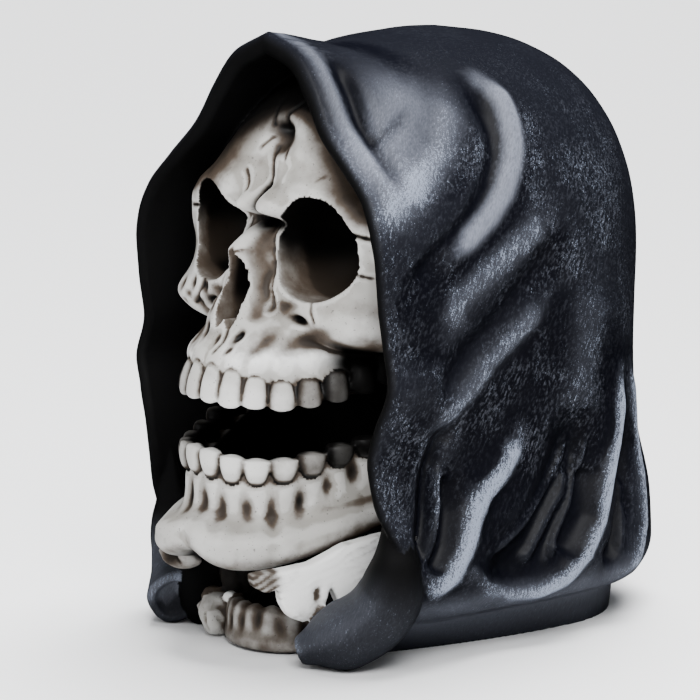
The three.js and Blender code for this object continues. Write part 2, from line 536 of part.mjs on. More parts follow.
// The white splinter of bone between the jaw and the hem: a plate with a torn notch in its lower edge
function splinter() {
  const shape = new THREE.Shape(SPLINTER.edge.map(([x, z]) => new THREE.Vector2(x, z)));
  const plate = new THREE.ExtrudeGeometry(shape, {
    depth: SPLINTER.thickness - 2 * SPLINTER.bevel, bevelEnabled: true, bevelThickness: SPLINTER.bevel,
    bevelSize: SPLINTER.bevel, bevelOffset: -SPLINTER.bevel, bevelSegments: 1,
  });
  plate.rotateX(degrees(90));
  plate.translate(0, SPLINTER.thickness - SPLINTER.bevel, 0);
  plate.rotateZ(degrees(SPLINTER.heading));
  plate.translate(SPLINTER.x, SPLINTER.y, 0);
  return solid(plate);
}

const join = (parts) => parts.reduce((whole, part) => whole.add(part));
const hollows = join([orbit(-1), orbit(1), noseHole(), foreheadHole()]);
const skull = join([cranium().subtract(hollows), jaw(), ...teeth(UPPER_TEETH), ...teeth(LOWER_TEETH)]);
const neck = lump([NECK.x, NECK.y, 0], [NECK.halfWidth, NECK.halfDepth, NECK.height], 0, 14, 8);
const smallBones = SMALL_BONES.map(({ at, halfSize, waves }) => lump(at, halfSize, waves));
const bones = [smallJaw(), splinter(), ...smallBones];
const figure = join([cowl(), skull, neck, hemRoll(NEAR_ROLL), hemRoll(FAR_ROLL), ...bones]);

const mesh = new THREE.Mesh(new THREE.BufferGeometry(), new THREE.MeshStandardMaterial({
  color: 0x23262c, roughness: 0.5, metalness: 0,
}));
mesh.name = 'grim_reaper_head';
const shell = figure.getMesh();
mesh.geometry.setAttribute('position', new THREE.BufferAttribute(shell.vertProperties, 3));
mesh.geometry.setIndex(new THREE.BufferAttribute(shell.triVerts, 1));
mesh.geometry.computeBoundingBox();
const centre = mesh.geometry.boundingBox.getCenter(new THREE.Vector3());
mesh.geometry.translate(-centre.x, -centre.y, -mesh.geometry.boundingBox.min.z);
const group = new THREE.Group();
group.add(mesh);
export default group;
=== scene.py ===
"""The grim reaper figurine: a painted resin casting of a shouting skull in a draped cowl.

The casting is one piece, so it is made as one mesh: closed surfaces worked out with numpy are fused, thinned
and painted. Sizes are millimetres about the skull's axis and go to metres in the row's frame at the end.
"""

import logging
import math
from dataclasses import dataclass, field, replace
from enum import Enum
from typing import Any, Callable, Optional, Sequence, Union

import bpy
import numpy as np
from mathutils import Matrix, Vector


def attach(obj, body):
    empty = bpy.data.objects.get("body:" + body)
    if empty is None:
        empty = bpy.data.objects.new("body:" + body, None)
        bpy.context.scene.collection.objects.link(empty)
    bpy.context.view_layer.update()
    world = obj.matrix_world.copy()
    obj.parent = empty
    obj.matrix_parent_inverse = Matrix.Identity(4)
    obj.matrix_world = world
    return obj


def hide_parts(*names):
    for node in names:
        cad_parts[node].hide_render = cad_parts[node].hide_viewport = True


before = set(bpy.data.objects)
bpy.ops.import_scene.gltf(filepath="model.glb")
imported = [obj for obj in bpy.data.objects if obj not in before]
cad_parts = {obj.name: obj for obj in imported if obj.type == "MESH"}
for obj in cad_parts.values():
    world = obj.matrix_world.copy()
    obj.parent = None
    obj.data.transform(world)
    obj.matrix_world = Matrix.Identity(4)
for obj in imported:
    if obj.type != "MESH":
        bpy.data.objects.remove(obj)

LOG = logging.getLogger("figurine")
Array = np.ndarray
Pair = tuple[float, float]
Stations = Sequence[Pair]
Path = tuple[Pair, ...]
Triple = tuple[float, float, float]
Colour = tuple[float, float, float, float]

NODE = "grim_reaper_head"
SLOT = "painted_resin"
MILLIMETRE = 0.001
BOX_CENTRE = (0.2396, 5.0772)      # where the middle of the part's box lies from the skull's axis, in mm
PAINT_LAYERS = ("paint_a", "paint_b")
HOLLOW_ROUNDS = {"fine_hollow": 4, "broad_hollow": 30}     # rounds of smoothing behind each map of hollows


def ramp(value: Array, low: float, high: float) -> Array:
    """A smooth step from 0 at low to 1 at high: t * t * (3 - 2 * t), where t is the share of the way."""
    t = np.clip((np.asarray(value, float) - low) / (high - low), 0.0, 1.0)
    return t * t * (3 - 2 * t)


def bump(distance: Array, spread: float) -> Array:
    """A bell curve, exp(-(distance / spread) squared): 1 at no distance, a third at the spread."""
    return np.exp(-((np.asarray(distance, float) / spread) ** 2))


def signed_power(value: Array, power: float) -> Array:
    """The sign of the value times its size to a power."""
    return np.sign(value) * np.abs(value) ** power


def mix(low: Any, high: Any, share: Array) -> Array:
    """A straight blend: low at share 0 and high at share 1."""
    return low + (high - low) * share


def soft_max(a: Array, b: Array, blend: float) -> Array:
    """The larger of two, with their join rounded over the width of the blend."""
    share = np.clip(0.5 + (a - b) / (2 * blend), 0.0, 1.0)
    return mix(b, a, share) + blend * share * (1 - share)


def reach(turn: Array, half_width: Array, depth: Array, squareness: Array) -> Array:
    """How far a rounded rectangle reaches in a direction; at squareness 2 it is an ellipse."""
    across, ahead = np.abs(np.sin(turn)) / half_width, np.abs(np.cos(turn)) / depth
    return (across**squareness + ahead**squareness) ** (-1.0 / squareness)


def ring_grid(low: float, high: float, grid: tuple[int, int]) -> tuple[Array, Array]:
    """A grid of rows that run from low to high and columns that go once round in radians."""
    rows, columns = np.linspace(low, high, grid[0]), np.linspace(0, 2 * np.pi, grid[1], endpoint=False)
    return tuple(np.meshgrid(rows, columns, indexing="ij"))


def turned(x: Array, y: Array, degrees: float) -> tuple[Array, Array]:
    """Two coordinates turned anticlockwise by an angle."""
    c, s = math.cos(math.radians(degrees)), math.sin(math.radians(degrees))
    return x * c - y * s, x * s + y * c


def read_rows(items: Any, field_name: str, width: int, kind: type = np.float32) -> Array:
    """One property of every item of a mesh's collection.

    Args:
        items: the collection, such as a mesh's vertices.
        field_name: the property.
        width: how many numbers it has.
        kind: the numbers' type.

    Returns:
        Array: items by width.
    """
    numbers = np.empty(len(items) * width, kind)
    items.foreach_get(field_name, numbers)
    return numbers.reshape(-1, width)


class Curve:
    """A smooth curve through stations: cubic pieces whose slopes never overshoot."""

    def __init__(self, stations: Stations) -> None:
        """Reads the stations.

        Args:
            stations: [place, value] pairs in rising order of place.
        """
        table = np.array(stations, float)
        self.place, self.value = table[:, 0], table[:, 1]
        self.span = np.diff(self.place)
        slope = np.diff(self.value) / self.span
        bend = np.zeros(len(table))
        bend[0], bend[-1] = slope[0], slope[-1]
        same = slope[:-1] * slope[1:] > 0
        total = np.where(same, slope[:-1] + slope[1:], 1.0)
        bend[1:-1] = np.where(same, 2 * slope[:-1] * slope[1:] / total, 0.0)
        self.bend = bend

    def __call__(self, place: Array) -> Array:
        """Reads the curve.

        Args:
            place: where to read it; outside the stations it keeps the end values.

        Returns:
            Array: the values there.
        """
        at = np.clip(np.asarray(place, float), self.place[0], self.place[-1])
        i = np.clip(np.searchsorted(self.place, at, "right") - 1, 0, len(self.span) - 1)
        t = (at - self.place[i]) / self.span[i]
        smooth = self.value[i] * (1 + 2 * t) * (1 - t) ** 2 + self.value[i + 1] * t * t * (3 - 2 * t)
        return smooth + self.span[i] * (self.bend[i] * t * (1 - t) ** 2 - self.bend[i + 1] * t * t * (1 - t))


@dataclass(frozen=True)
class Track:
    """A line of points on a flat chart, to measure from.

    Attributes:
        points: its corners as [across, height] or [depth, height] pairs.
    """

    points: Path

    def measure(self, across: Array, height: Array) -> tuple[Array, Array]:
        """Distances from the line.

        Args:
            across: first coordinate of the places.
            height: second coordinate of the places.

        Returns:
            tuple: distance, positive on the line's right side, and the nearest point's share along the line.
        """
        corners = np.array(self.points, float)
        steps = np.diff(corners, axis=0)
        lengths = np.hypot(steps[:, 0], steps[:, 1])
        starts = np.concatenate([[0.0], np.cumsum(lengths)])
        best = np.full(np.shape(across), np.inf)
        side = np.ones(np.shape(across))
        share = np.zeros(np.shape(across))
        for (x, y), (dx, dy), length, start in zip(corners[:-1], steps, lengths, starts):
            t = np.clip(((across - x) * dx + (height - y) * dy) / length**2, 0.0, 1.0)
            gap = np.hypot(across - x - t * dx, height - y - t * dy)
            nearer = gap < best
            best = np.where(nearer, gap, best)
            side = np.where(nearer, np.sign((across - x) * dy - (height - y) * dx), side)
            share = np.where(nearer, (start + t * length) / starts[-1], share)
        return best * np.where(side == 0, 1.0, side), share


@dataclass(frozen=True)
class Fold:
    """One ridge or hollow of the cloth, along a line on the side of the cowl.

    Attributes:
        path: its line as [depth, height] pairs, from the top down.
        rise: how far it stands out, negative for a hollow.
        spread: its half width on the line's right side (towards the back).
        front_spread: its half width towards the front; the same as spread if 0.
        brush: how much of the silver dry brushing it holds.
        film: how much of the smooth grey paint it holds.
        fade: share of its length over which each end dies away.
    """

    path: Path
    rise: float
    spread: float
    front_spread: float = 0.0
    brush: float = 0.0
    film: float = 0.0
    fade: float = 0.12

    def profile(self, depth: Array, height: Array) -> Array:
        """The fold's cross profile over the side of the cowl.

        Args:
            depth: y of the places.
            height: z of the places.

        Returns:
            Array: 1 on the line, fading to 0 away from it and past its ends.
        """
        gap, share = Track(self.path).measure(depth, height)
        front = self.front_spread or self.spread
        width = np.where(gap < 0, front, self.spread)
        ends = 1.0
        if self.fade:
            ends = (0.25 + 0.75 * ramp(share, 0, self.fade)) * (0.25 + 0.75 * ramp(1 - share, 0, self.fade))
        return np.exp(-((gap / width) ** 2)) * ends


class Paint(Enum):
    """Channels of the paint that goes with every point."""

    BONE = 0
    WASH = 1
    SOOT = 2
    WHITE = 3
    BRUSH = 4
    SPECKLE = 5
    INNER = 6
    FILM = 7


def paint_layer(shape: tuple[int, ...], **amounts: Union[float, Array]) -> Array:
    """Paint for every point of a surface.

    Args:
        shape: the surface's rows and columns.
        amounts: channel names in lower case, each with one amount or an array of them.

    Returns:
        Array: rows by columns by channels, each from 0 to 1.
    """
    layer = np.zeros((*shape, len(Paint)))
    for name, amount in amounts.items():
        layer[..., Paint[name.upper()].value] = np.clip(amount, 0.0, 1.0)
    return layer


@dataclass
class Shell:
    """A closed surface: its points, triangles and paint.

    Attributes:
        points: points by 3, in mm.
        triangles: corners of each triangle, outward by the right-hand rule.
        paint: points by channels.
    """

    points: Array
    triangles: Array
    paint: Array

    @staticmethod
    def woven(points: Array, paint: Array, capped: bool = True) -> "Shell":
        """Closes a grid of points that runs round in its columns.

        Args:
            points: rows by columns by 3.
            paint: rows by columns by channels.
            capped: True if the first and the last row each shrink to one point.

        Returns:
            Shell: the closed surface, facing outward.
        """
        rows, columns = points.shape[:2]
        index = np.arange(rows * columns).reshape(rows, columns)
        if capped:
            points = points.copy()
            points[0], points[-1] = points[0].mean(0), points[-1].mean(0)
            index[0], index[-1] = index[0, 0], index[-1, 0]
        right = np.roll(index, -1, axis=1)
        a, b, c, d = index[:-1], right[:-1], right[1:], index[1:]
        halves = [np.stack(corners, -1).reshape(-1, 3) for corners in ((a, b, c), (a, c, d))]
        triangles = np.concatenate(halves)
        whole = (triangles[:, 0] != triangles[:, 1]) & (triangles[:, 1] != triangles[:, 2])
        triangles = triangles[whole & (triangles[:, 0] != triangles[:, 2])]
        flat = points.reshape(-1, 3)
        corners = flat[triangles]
        volume = np.einsum("ij,ij->", corners[:, 0], np.cross(corners[:, 1], corners[:, 2]))
        if volume < 0:
            triangles = triangles[:, ::-1]
        used, renumbered = np.unique(triangles, return_inverse=True)
        return Shell(flat[used], renumbered.reshape(-1, 3), paint.reshape(-1, len(Paint))[used])

    @staticmethod
    def gathered(shells: Sequence["Shell"]) -> "Shell":
        """Several shells as one set of arrays, still overlapping."""
        offsets = np.cumsum([0, *(len(s.points) for s in shells[:-1])])
        return Shell(
            np.concatenate([s.points for s in shells]),
            np.concatenate([s.triangles + o for s, o in zip(shells, offsets)]),
            np.concatenate([s.paint for s in shells]),
        )

    def to_object(self, name: str, painted: bool = False) -> bpy.types.Object:
        """Makes a mesh object of the shell, in mm.

        Args:
            name: its name.
            painted: True to store the paint as two colour layers.

        Returns:
            bpy.types.Object: the object, in the scene.
        """
        mesh = bpy.data.meshes.new(name)
        mesh.from_pydata(self.points, [], self.triangles)
        mesh.update()
        if painted:
            for i, layer in enumerate(PAINT_LAYERS):
                data = mesh.color_attributes.new(layer, "FLOAT_COLOR", "POINT").data
                data.foreach_set("color", self.paint[:, 4 * i : 4 * i + 4].astype(np.float32).ravel())
        obj = bpy.data.objects.new(name, mesh)
        bpy.context.scene.collection.objects.link(obj)
        return obj


def evaluated(obj: bpy.types.Object) -> tuple[Array, Array]:
    """The mesh of an object with its modifiers done.

    Args:
        obj: the object.

    Returns:
        tuple: points by 3 and triangles by 3.
    """
    shown = obj.evaluated_get(bpy.context.evaluated_depsgraph_get())
    mesh = shown.to_mesh()
    mesh.calc_loop_triangles()
    points = read_rows(mesh.vertices, "co", 3).astype(float)
    triangles = read_rows(mesh.loop_triangles, "vertices", 3, np.int32)
    shown.to_mesh_clear()
    return points, triangles


def discard(obj: bpy.types.Object) -> None:
    """Takes a helper object and its mesh out of the file.

    Args:
        obj: the object.
    """
    mesh = obj.data
    bpy.data.objects.remove(obj)
    bpy.data.meshes.remove(mesh)


@dataclass(frozen=True)
class Cowl:
    """The cloth: a hollow dome with a pointed opening, folds down its sides and a plain foot.

    Attributes hold the driving sizes in mm, the same as the solid part's. The parts are the shares of a row
    at which the back quarter, the side and the lip end. Stations are [height, size] pairs.
    """

    height: float = 140.0
    peak: float = 139.4
    rim_plane: float = -40.0
    ridge_end: float = 14.0
    saddle: Triple = (-18.0, 3.0, 13.0)
    shell_top: float = 5.0
    lip_radius: float = 1.7
    lip_width: float = 3.2
    lip_setback: float = 0.4
    slimmest_lip: float = 0.8
    recess_mouth: float = -38.0
    recess_back: float = -6.0
    recess_heights: Pair = (2.0, 22.0)
    recess_cornering: float = 0.55
    dome_cornering: float = 0.94
    side_flare: float = 1.7
    foot_middle: float = 10.0
    plain_side: float = 0.7
    crowding: float = 1.35
    pleat_rise: float = 1.5
    pleat_pitch: float = 21.0
    pleat_lean: float = 0.16
    pleat_upright: float = 60.0
    pleat_heights: tuple[float, float, float, float] = (8.0, 16.0, 70.0, 118.0)
    fold_heights: tuple[float, float, float, float] = (8.4, 12.5, 127.0, 137.0)
    fold_start: Pair = (0.5, 6.0)
    foot_edge: Pair = (7.6, 9.4)
    rim_half_width: Stations = (
        (0, 26), (8, 34), (14, 40.5), (21, 44), (29, 42.9), (38, 40.4), (46, 39.9), (55, 42), (63, 44.6),
        (73, 42.6), (90, 42.5), (97, 41.2), (104, 38), (111, 31.2), (119, 22.8), (128, 17), (135, 10.8),
        (139.4, 0),
    )
    rim_line: Stations = (
        (0, -26), (8, -28), (15, -30), (22, -33), (29, -36.5), (38, -39.7), (50, -41.3), (60, -40.4),
        (70, -39), (82, -40.6), (96, -41.5), (110, -40.1), (125, -38.5), (139.4, -37.5),
    )
    side_half_width: Stations = (
        (0, 37.5), (7.5, 38.5), (9.5, 43.5), (16, 46), (30, 45), (45, 43.6), (60, 43.6), (75, 44.3),
        (88, 44.8), (100, 44.4), (112, 42), (122, 37.4), (130, 30.4), (135, 22.4), (138, 14.2), (140, 0),
    )
    side_depth: Stations = ((0, 26), (20, 22), (60, 16), (100, 8), (125, 0), (140, -6))
    back_depth: Stations = (
        (0, 57), (7.5, 59), (9.5, 66), (15, 70.5), (26, 71), (45, 67), (75, 66), (92, 66.5), (104, 65),
        (114, 61.8), (123, 56.5), (130, 49.5), (135.5, 39.5), (138.5, 28.5), (140, 14),
    )
    parts: Triple = (0.3, 0.6, 0.68)
    columns: tuple[int, int, int, int] = (150, 170, 26, 60)
    rows: int = 330
    folds: tuple[Fold, ...] = (
        # the ribbon fold of the hood's side and the sharp valley before it
        Fold(((-1.5, 129), (0.6, 124.5), (0.4, 120.5), (-0.6, 115), (-2.4, 110), (-5.8, 104.5), (-10.4, 99.8),
             (-15.6, 95.8), (-22, 91.3), (-27, 87)), 1.9, 3.6, 2.2),
        Fold(((-2.6, 128), (0.2, 124), (0.2, 120.5), (-0.7, 115), (-2.5, 110), (-5.9, 104.4), (-10.5, 99.6),
             (-15.8, 95.6), (-21.6, 91.6)), 0, 2.4, 2.1, film=1.9, fade=0.14),
        Fold(((-7, 127), (-6, 122), (-5.6, 117.5), (-6.6, 112), (-10, 105.5), (-15.5, 100), (-22, 95),
             (-28.5, 90.5), (-34.5, 85.5)), -2.1, 2.2, 6, brush=-0.3, film=-0.35),
        # the cushion of the front panel, its film, its crease and its brushed border
        Fold(((-25, 123), (-29, 115), (-37, 109)), 1.6, 8.5, 8, fade=0),
        Fold(((-24, 122), (-29, 116.5), (-36, 111)), 0, 6, 7, film=0.66, fade=0),
        Fold(((-22.5, 122.5), (-26, 119.3), (-30, 116.6), (-35, 114.6)), -0.5, 1.1, 1.3, brush=-0.3,
             film=-0.4, fade=0.3),
        Fold(((-13.5, 125), (-15.5, 119.5), (-19.5, 113.5), (-25.5, 108.8), (-33, 105.6), (-41, 101)), 1, 2.4,
             3.2, brush=0.26, film=0.3),
        Fold(((-22, 111.5), (-28, 106.6), (-34, 103.2), (-39.5, 100), (-43, 97)), 0, 2.8, 3.6, brush=0.5,
             fade=0.34),
        # the long folds of the middle
        Fold(((10, 92), (-1, 83), (-12, 73), (-18.5, 68.5), (-23, 63), (-25, 57.5)), -1.5, 3.2, 4,
             brush=-0.3),
        Fold(((5, 78), (-3, 72.5), (-11.5, 67), (-19, 60.5), (-23, 55.5), (-24.5, 50)), 1.5, 3.4, 2.4,
             brush=0.34, film=0.12),
        Fold(((5.5, 97.5), (-9, 89.5), (-21, 81.5), (-23.5, 74.5)), 0.9, 3.4, brush=0.36, film=0.1),
        Fold(((24, 80), (20, 66), (17.5, 52)), 0.9, 6, brush=0.2),
        # the slit behind the lip and the front pocket
        Fold(((-20, 55), (-24, 50), (-26.5, 43.5), (-28, 35), (-31.5, 25.5), (-33, 19.5)), -3.4, 3, 1.5,
             brush=-0.8),
        Fold(((-24.8, 45), (-25, 37), (-27, 30.5)), 0.9, 0.9, 0.9, brush=0.5),
        Fold(((-21.5, 43), (-22, 35), (-24.5, 27.5), (-29, 21)), -3.2, 2.2, 2.6, brush=-0.8),
        Fold(((-1, 49), (-6, 42), (-12, 37), (-16, 32), (-18.5, 27), (-23.5, 21), (-31, 16.5)), 2.1, 3, 2.6,
             brush=0.95),
        # the deep pocket, the thin ridges in it and the swag round it
        Fold(((17, 43), (10.5, 31.5), (3.5, 22.5), (-4, 19)), -4.6, 7.2, 6.6, brush=-1, fade=0),
        Fold(((22, 40), (19.5, 28), (11.5, 20)), -2.4, 3.6, brush=-0.8),
        Fold(((18, 47), (17, 43), (11, 36.5), (1.5, 29), (-9.5, 23)), 1.7, 0.9, 1, brush=0.35),
        Fold(((17, 40), (14, 34), (9.5, 29), (3.5, 22), (0, 19)), 2.6, 1.6, 1.8, brush=0.55),
        Fold(((23, 46), (21, 40.5), (16, 31.5), (12, 25.5), (8, 19)), 2.2, 0.9, 1.1, brush=0.45),
        Fold(((36, 60), (34, 52), (31.5, 43), (27.5, 35), (24, 26.5), (18.5, 19.5), (12, 15), (5, 12.8),
             (-2.5, 13), (-10, 15.5), (-16, 19.5)), 2.5, 2, 2.4, brush=0.95),
        # the narrow pocket at the back and the ridge behind it
        Fold(((40.5, 45), (38.5, 36), (36.5, 28.5), (32.5, 19.5), (27, 13.5)), -4.2, 3.2, 2.8, brush=-0.9),
        Fold(((38.6, 34), (36.5, 25), (33.5, 16.5)), 1.8, 0.8, 0.8, brush=0.3),
        Fold(((43, 60), (45.5, 46), (46.5, 34), (45, 22), (40, 14.5), (33, 11.5)), 1.3, 2.4, brush=0.7),
    )

    def rim(self, height: Array) -> tuple[Array, Array]:
        """Half width and depth of the opening's outer edge."""
        return Curve(self.rim_half_width)(height), Curve(self.rim_line)(height)

    def ridge_top(self, depth: Array) -> Array:
        """The ridge line: level, with a shallow saddle behind the peak.

        Args:
            depth: y along the ridge.

        Returns:
            Array: its height.
        """
        where, drop, spread = self.saddle
        rise = ramp(depth, self.rim_plane, self.ridge_end)
        return mix(self.peak, self.height, rise) - drop * bump(depth - where, spread)

    def plain_points(self, part: Array, level: Array) -> Array:
        """The cowl before its folds, for one side.

        The back quarter and the hollow are rounded quarter turns, the side eases in to the opening, and the
        lip is a half turn between the opening's outer and inner edges.

        Args:
            part: from 0 at the middle of the back, round the side and the lip, to 1 inside the hollow.
            level: from 0 at the floor to 1 at the ridge.

        Returns:
            Array: places by 3.
        """
        back_part, side_part, lip_part = self.parts
        rim_x, rim_y = self.rim(self.peak * level)
        height = self.height * level
        side_x, side_y = Curve(self.side_half_width)(height), Curve(self.side_depth)(height)
        back = Curve(self.back_depth)(height)
        inner_x = np.maximum(rim_x - self.lip_width, rim_x * self.slimmest_lip)
        inner_y = rim_y + self.lip_setback
        recess = mix(self.recess_mouth, self.recess_back, ramp(height, *self.recess_heights))
        drop = self.shell_top * level**3

        turn = np.pi / 2 * np.clip(part / back_part, 0, 1)
        back_y = mix(side_y, back, np.cos(turn).clip(0) ** self.dome_cornering)
        back_x = side_x * np.sin(turn) ** self.dome_cornering

        t = np.clip((part - back_part) / (side_part - back_part), 0, 1)
        flank_y = mix(side_y, rim_y, t)
        flank_x = mix(side_x, rim_x, t**self.side_flare)

        t = np.clip((part - side_part) / (lip_part - side_part), 0, 1)
        across = (1 - np.cos(np.pi * t)) / 2
        lip_x, lip_y = mix(rim_x, inner_x, across), rim_y - self.lip_radius * np.sin(np.pi * t)
        lip_z = (self.ridge_top(rim_y) - drop * across) * level

        turn = np.pi / 2 * np.clip((part - lip_part) / (1 - lip_part), 0, 1)
        hollow_y = mix(inner_y, recess, np.sin(turn) ** self.recess_cornering)
        hollow_x = inner_x * np.cos(turn).clip(0) ** self.recess_cornering

        zones = [part <= back_part, part <= side_part, part <= lip_part]
        x = np.select(zones, [back_x, flank_x, lip_x], hollow_x)
        y = np.select(zones, [back_y, flank_y, lip_y], hollow_y)
        outer = self.ridge_top(y) * level
        z = np.select(zones, [outer, outer, lip_z], (self.ridge_top(y) - drop) * level)
        return np.stack([x, y, z], -1)

    def relief(self, points: Array, from_rim: Array, share: Array) -> tuple[Array, Array, Array]:
        """The folds of one side: each fold's rise times its profile, a band and a valley along the opening.

        Args:
            points: places by 3 on the side, with x positive.
            from_rim: distance of each place from the opening's edge along the surface.
            share: how strongly the folds show at each place.

        Returns:
            tuple: rise along the normal, the dry brushing and the grey film it holds.
        """
        y, z = points[..., 1], points[..., 2]
        rise, brush, film = np.zeros_like(y), np.zeros_like(y), np.zeros_like(y)
        for fold in self.folds:
            profile = fold.profile(y, z)
            rise += fold.rise * profile
            brush += fold.brush * profile
            film += fold.film * profile
        upper = ramp(z, 92, 104) * (1 - ramp(z, 128, 138))
        grooved = upper * ramp(z, 100, 113)
        rise += 0.9 * upper * bump(from_rim - 2.6, 2.0) - 1.8 * grooved * bump(from_rim - 6.4, 2.4)
        brush += 0.2 * upper * bump(from_rim - 2.8, 1.2) - 0.5 * grooved * bump(from_rim - 6.6, 1.8)
        band = bump(from_rim - 2.7, 1.5) * (from_rim > 0)
        film += 0.6 * band * ramp(z, 103, 115) - 0.5 * grooved * bump(from_rim - 6.6, 1.8)
        brush *= mix(1.0, ramp(from_rim, 0.5, 4.5), ramp(z, 101, 108))
        lower = 1 - ramp(z, 70, 84)
        brush += 0.12 * lower * bump(from_rim - 2.6, 2.0) * ramp(z, 20, 40)
        return share * rise, brush, film

    def half_grid(self) -> tuple[Array, Array]:
        """The grid of one side, with its levels crowded towards the ridge.

        Returns:
            tuple: part and level of each place.
        """
        marks = [0.0, *self.parts, 1.0]
        runs = [np.linspace(a, b, n, endpoint=False) for a, b, n in zip(marks[:-1], marks[1:], self.columns)]
        climb = np.linspace(0, 1, self.rows)
        return tuple(np.meshgrid(np.concatenate([*runs, [1.0]]), 1 - (1 - climb) ** self.crowding))

    @staticmethod
    def normals(plain: Array, flank: Array) -> Array:
        """Normals of the plain form: the cross product of its two gradients, at a length of 1.

        Args:
            plain: places by 3.
            flank: True on the side, where the normals have to face +X.

        Returns:
            Array: places by 3, outward.
        """
        normal = np.cross(np.gradient(plain, axis=1), np.gradient(plain, axis=0))
        normal /= np.linalg.norm(normal, axis=-1, keepdims=True) + 1e-9
        return normal * np.sign(np.median(normal[..., 0][flank]))

    def distance_from_rim(self, plain: Array, part: Array) -> Array:
        """How far behind the opening's edge each place lies, summed along its row.

        Args:
            plain: places by 3.
            part: part of each place.

        Returns:
            Array: the distance, negative inside the edge.
        """
        step = np.linalg.norm(np.diff(plain, axis=1), axis=-1)
        length = np.concatenate([np.zeros((len(plain), 1)), np.cumsum(step, axis=1)], axis=1)
        rim_column = int(np.searchsorted(part[0], self.parts[1]))
        return length[:, rim_column : rim_column + 1] - length

    def pleat(self, x: Array, height: Array) -> Array:
        """The back's soft pleats: a cosine across the cloth that leans as it climbs."""
        return np.cos(2 * np.pi * (x + self.pleat_lean * (height - self.pleat_upright)) / self.pleat_pitch)

    def coats(self, part: Array, plain: Array, brush: Array, film: Array) -> list[Array]:
        """The paint of both sides: folds brushed, plain cloth speckled, the hem greyed and the foot painted
        grey as the table's reflection.

        Args:
            part: part of each place.
            plain: places by 3.
            brush: dry brushing that the folds hold.
            film: grey film that they hold.

        Returns:
            list[Array]: the near side's layer and the plainer far side's.
        """
        depth, height = plain[..., 1], plain[..., 2]
        rim_part = self.parts[1]
        lining = ramp(part, rim_part + 0.008, rim_part + 0.04)
        foot = 1 - ramp(height, *self.foot_edge)
        speckle = (0.42 + 0.3 * ramp(height, 12, 60)) * (1 - foot) * (1 - lining)
        speckle = speckle * (1 - 0.8 * ramp(height, 116, 132)) * (1 - 0.75 * ramp(depth, 22, 50))
        # a grey band along the hem, and on the foot a painted reflection of the pale table, fainter towards
        # the floor
        hem_grey_and_reflection = 0.3 * bump(height - 11.5, 3.2) + 0.24 * foot * (0.35 + 0.65 * ramp(height, 0, 8))
        hem_grey_and_reflection = hem_grey_and_reflection * (1 - np.clip(-2.0 * brush, 0, 1))
        return [paint_layer(
            part.shape, brush=np.clip(share * brush, 0, 1) * (1 - lining) * (1 - foot),
            film=(np.clip(share * film, 0, 1) * (1 - foot) + hem_grey_and_reflection) * (1 - lining),
            speckle=speckle, inner=lining, soot=0.85 * lining) for share in (1.0, self.plain_side)]

    def build(self) -> Shell:
        """Weaves the cowl: both sides from the plain form, pushed along their normals by the folds.

        Returns:
            Shell: the closed cloth with its paint.
        """
        part, level = self.half_grid()
        back_part, rim_part = self.parts[:2]
        plain = self.plain_points(part, level)
        normal = self.normals(plain, (part > back_part) & (part < rim_part))
        from_rim = self.distance_from_rim(plain, part)
        x, height = plain[..., 0], plain[..., 2]
        foot, low, high, crown = self.fold_heights
        shown = np.where(part <= rim_part, ramp(from_rim, *self.fold_start), 0.0)
        shown = shown * ramp(height, foot, low) * (1 - ramp(height, high, crown))
        sideways = np.sin(np.pi / 2 * np.clip(part / back_part, 0, 1)) ** 0.6
        rise, brush, film = self.relief(plain, from_rim, shown * sideways)
        foot, low, high, crown = self.pleat_heights
        behind = (1 - sideways**2) * ramp(height, foot, low) * (1 - ramp(height, high, crown))
        near = plain + normal * (rise + self.pleat_rise * self.pleat(x, height) * behind)[..., None]
        far_rise = self.plain_side * rise + self.pleat_rise * self.pleat(-x, height) * behind
        far = plain + normal * far_rise[..., None]
        far[..., 0] *= -1
        near_coat, far_coat = self.coats(part, plain, brush, film)
        points = np.concatenate([near, far[:, -2:0:-1]], axis=1)
        paint = np.concatenate([near_coat, far_coat[:, -2:0:-1]], axis=1)
        floor = np.broadcast_to(np.array([0.0, self.foot_middle, 0.0]), points[:1].shape)
        shell = Shell.woven(np.concatenate([floor, points]), np.concatenate([paint[:1], paint]), capped=False)
        LOG.info("cowl: %d points", len(shell.points))
        return shell


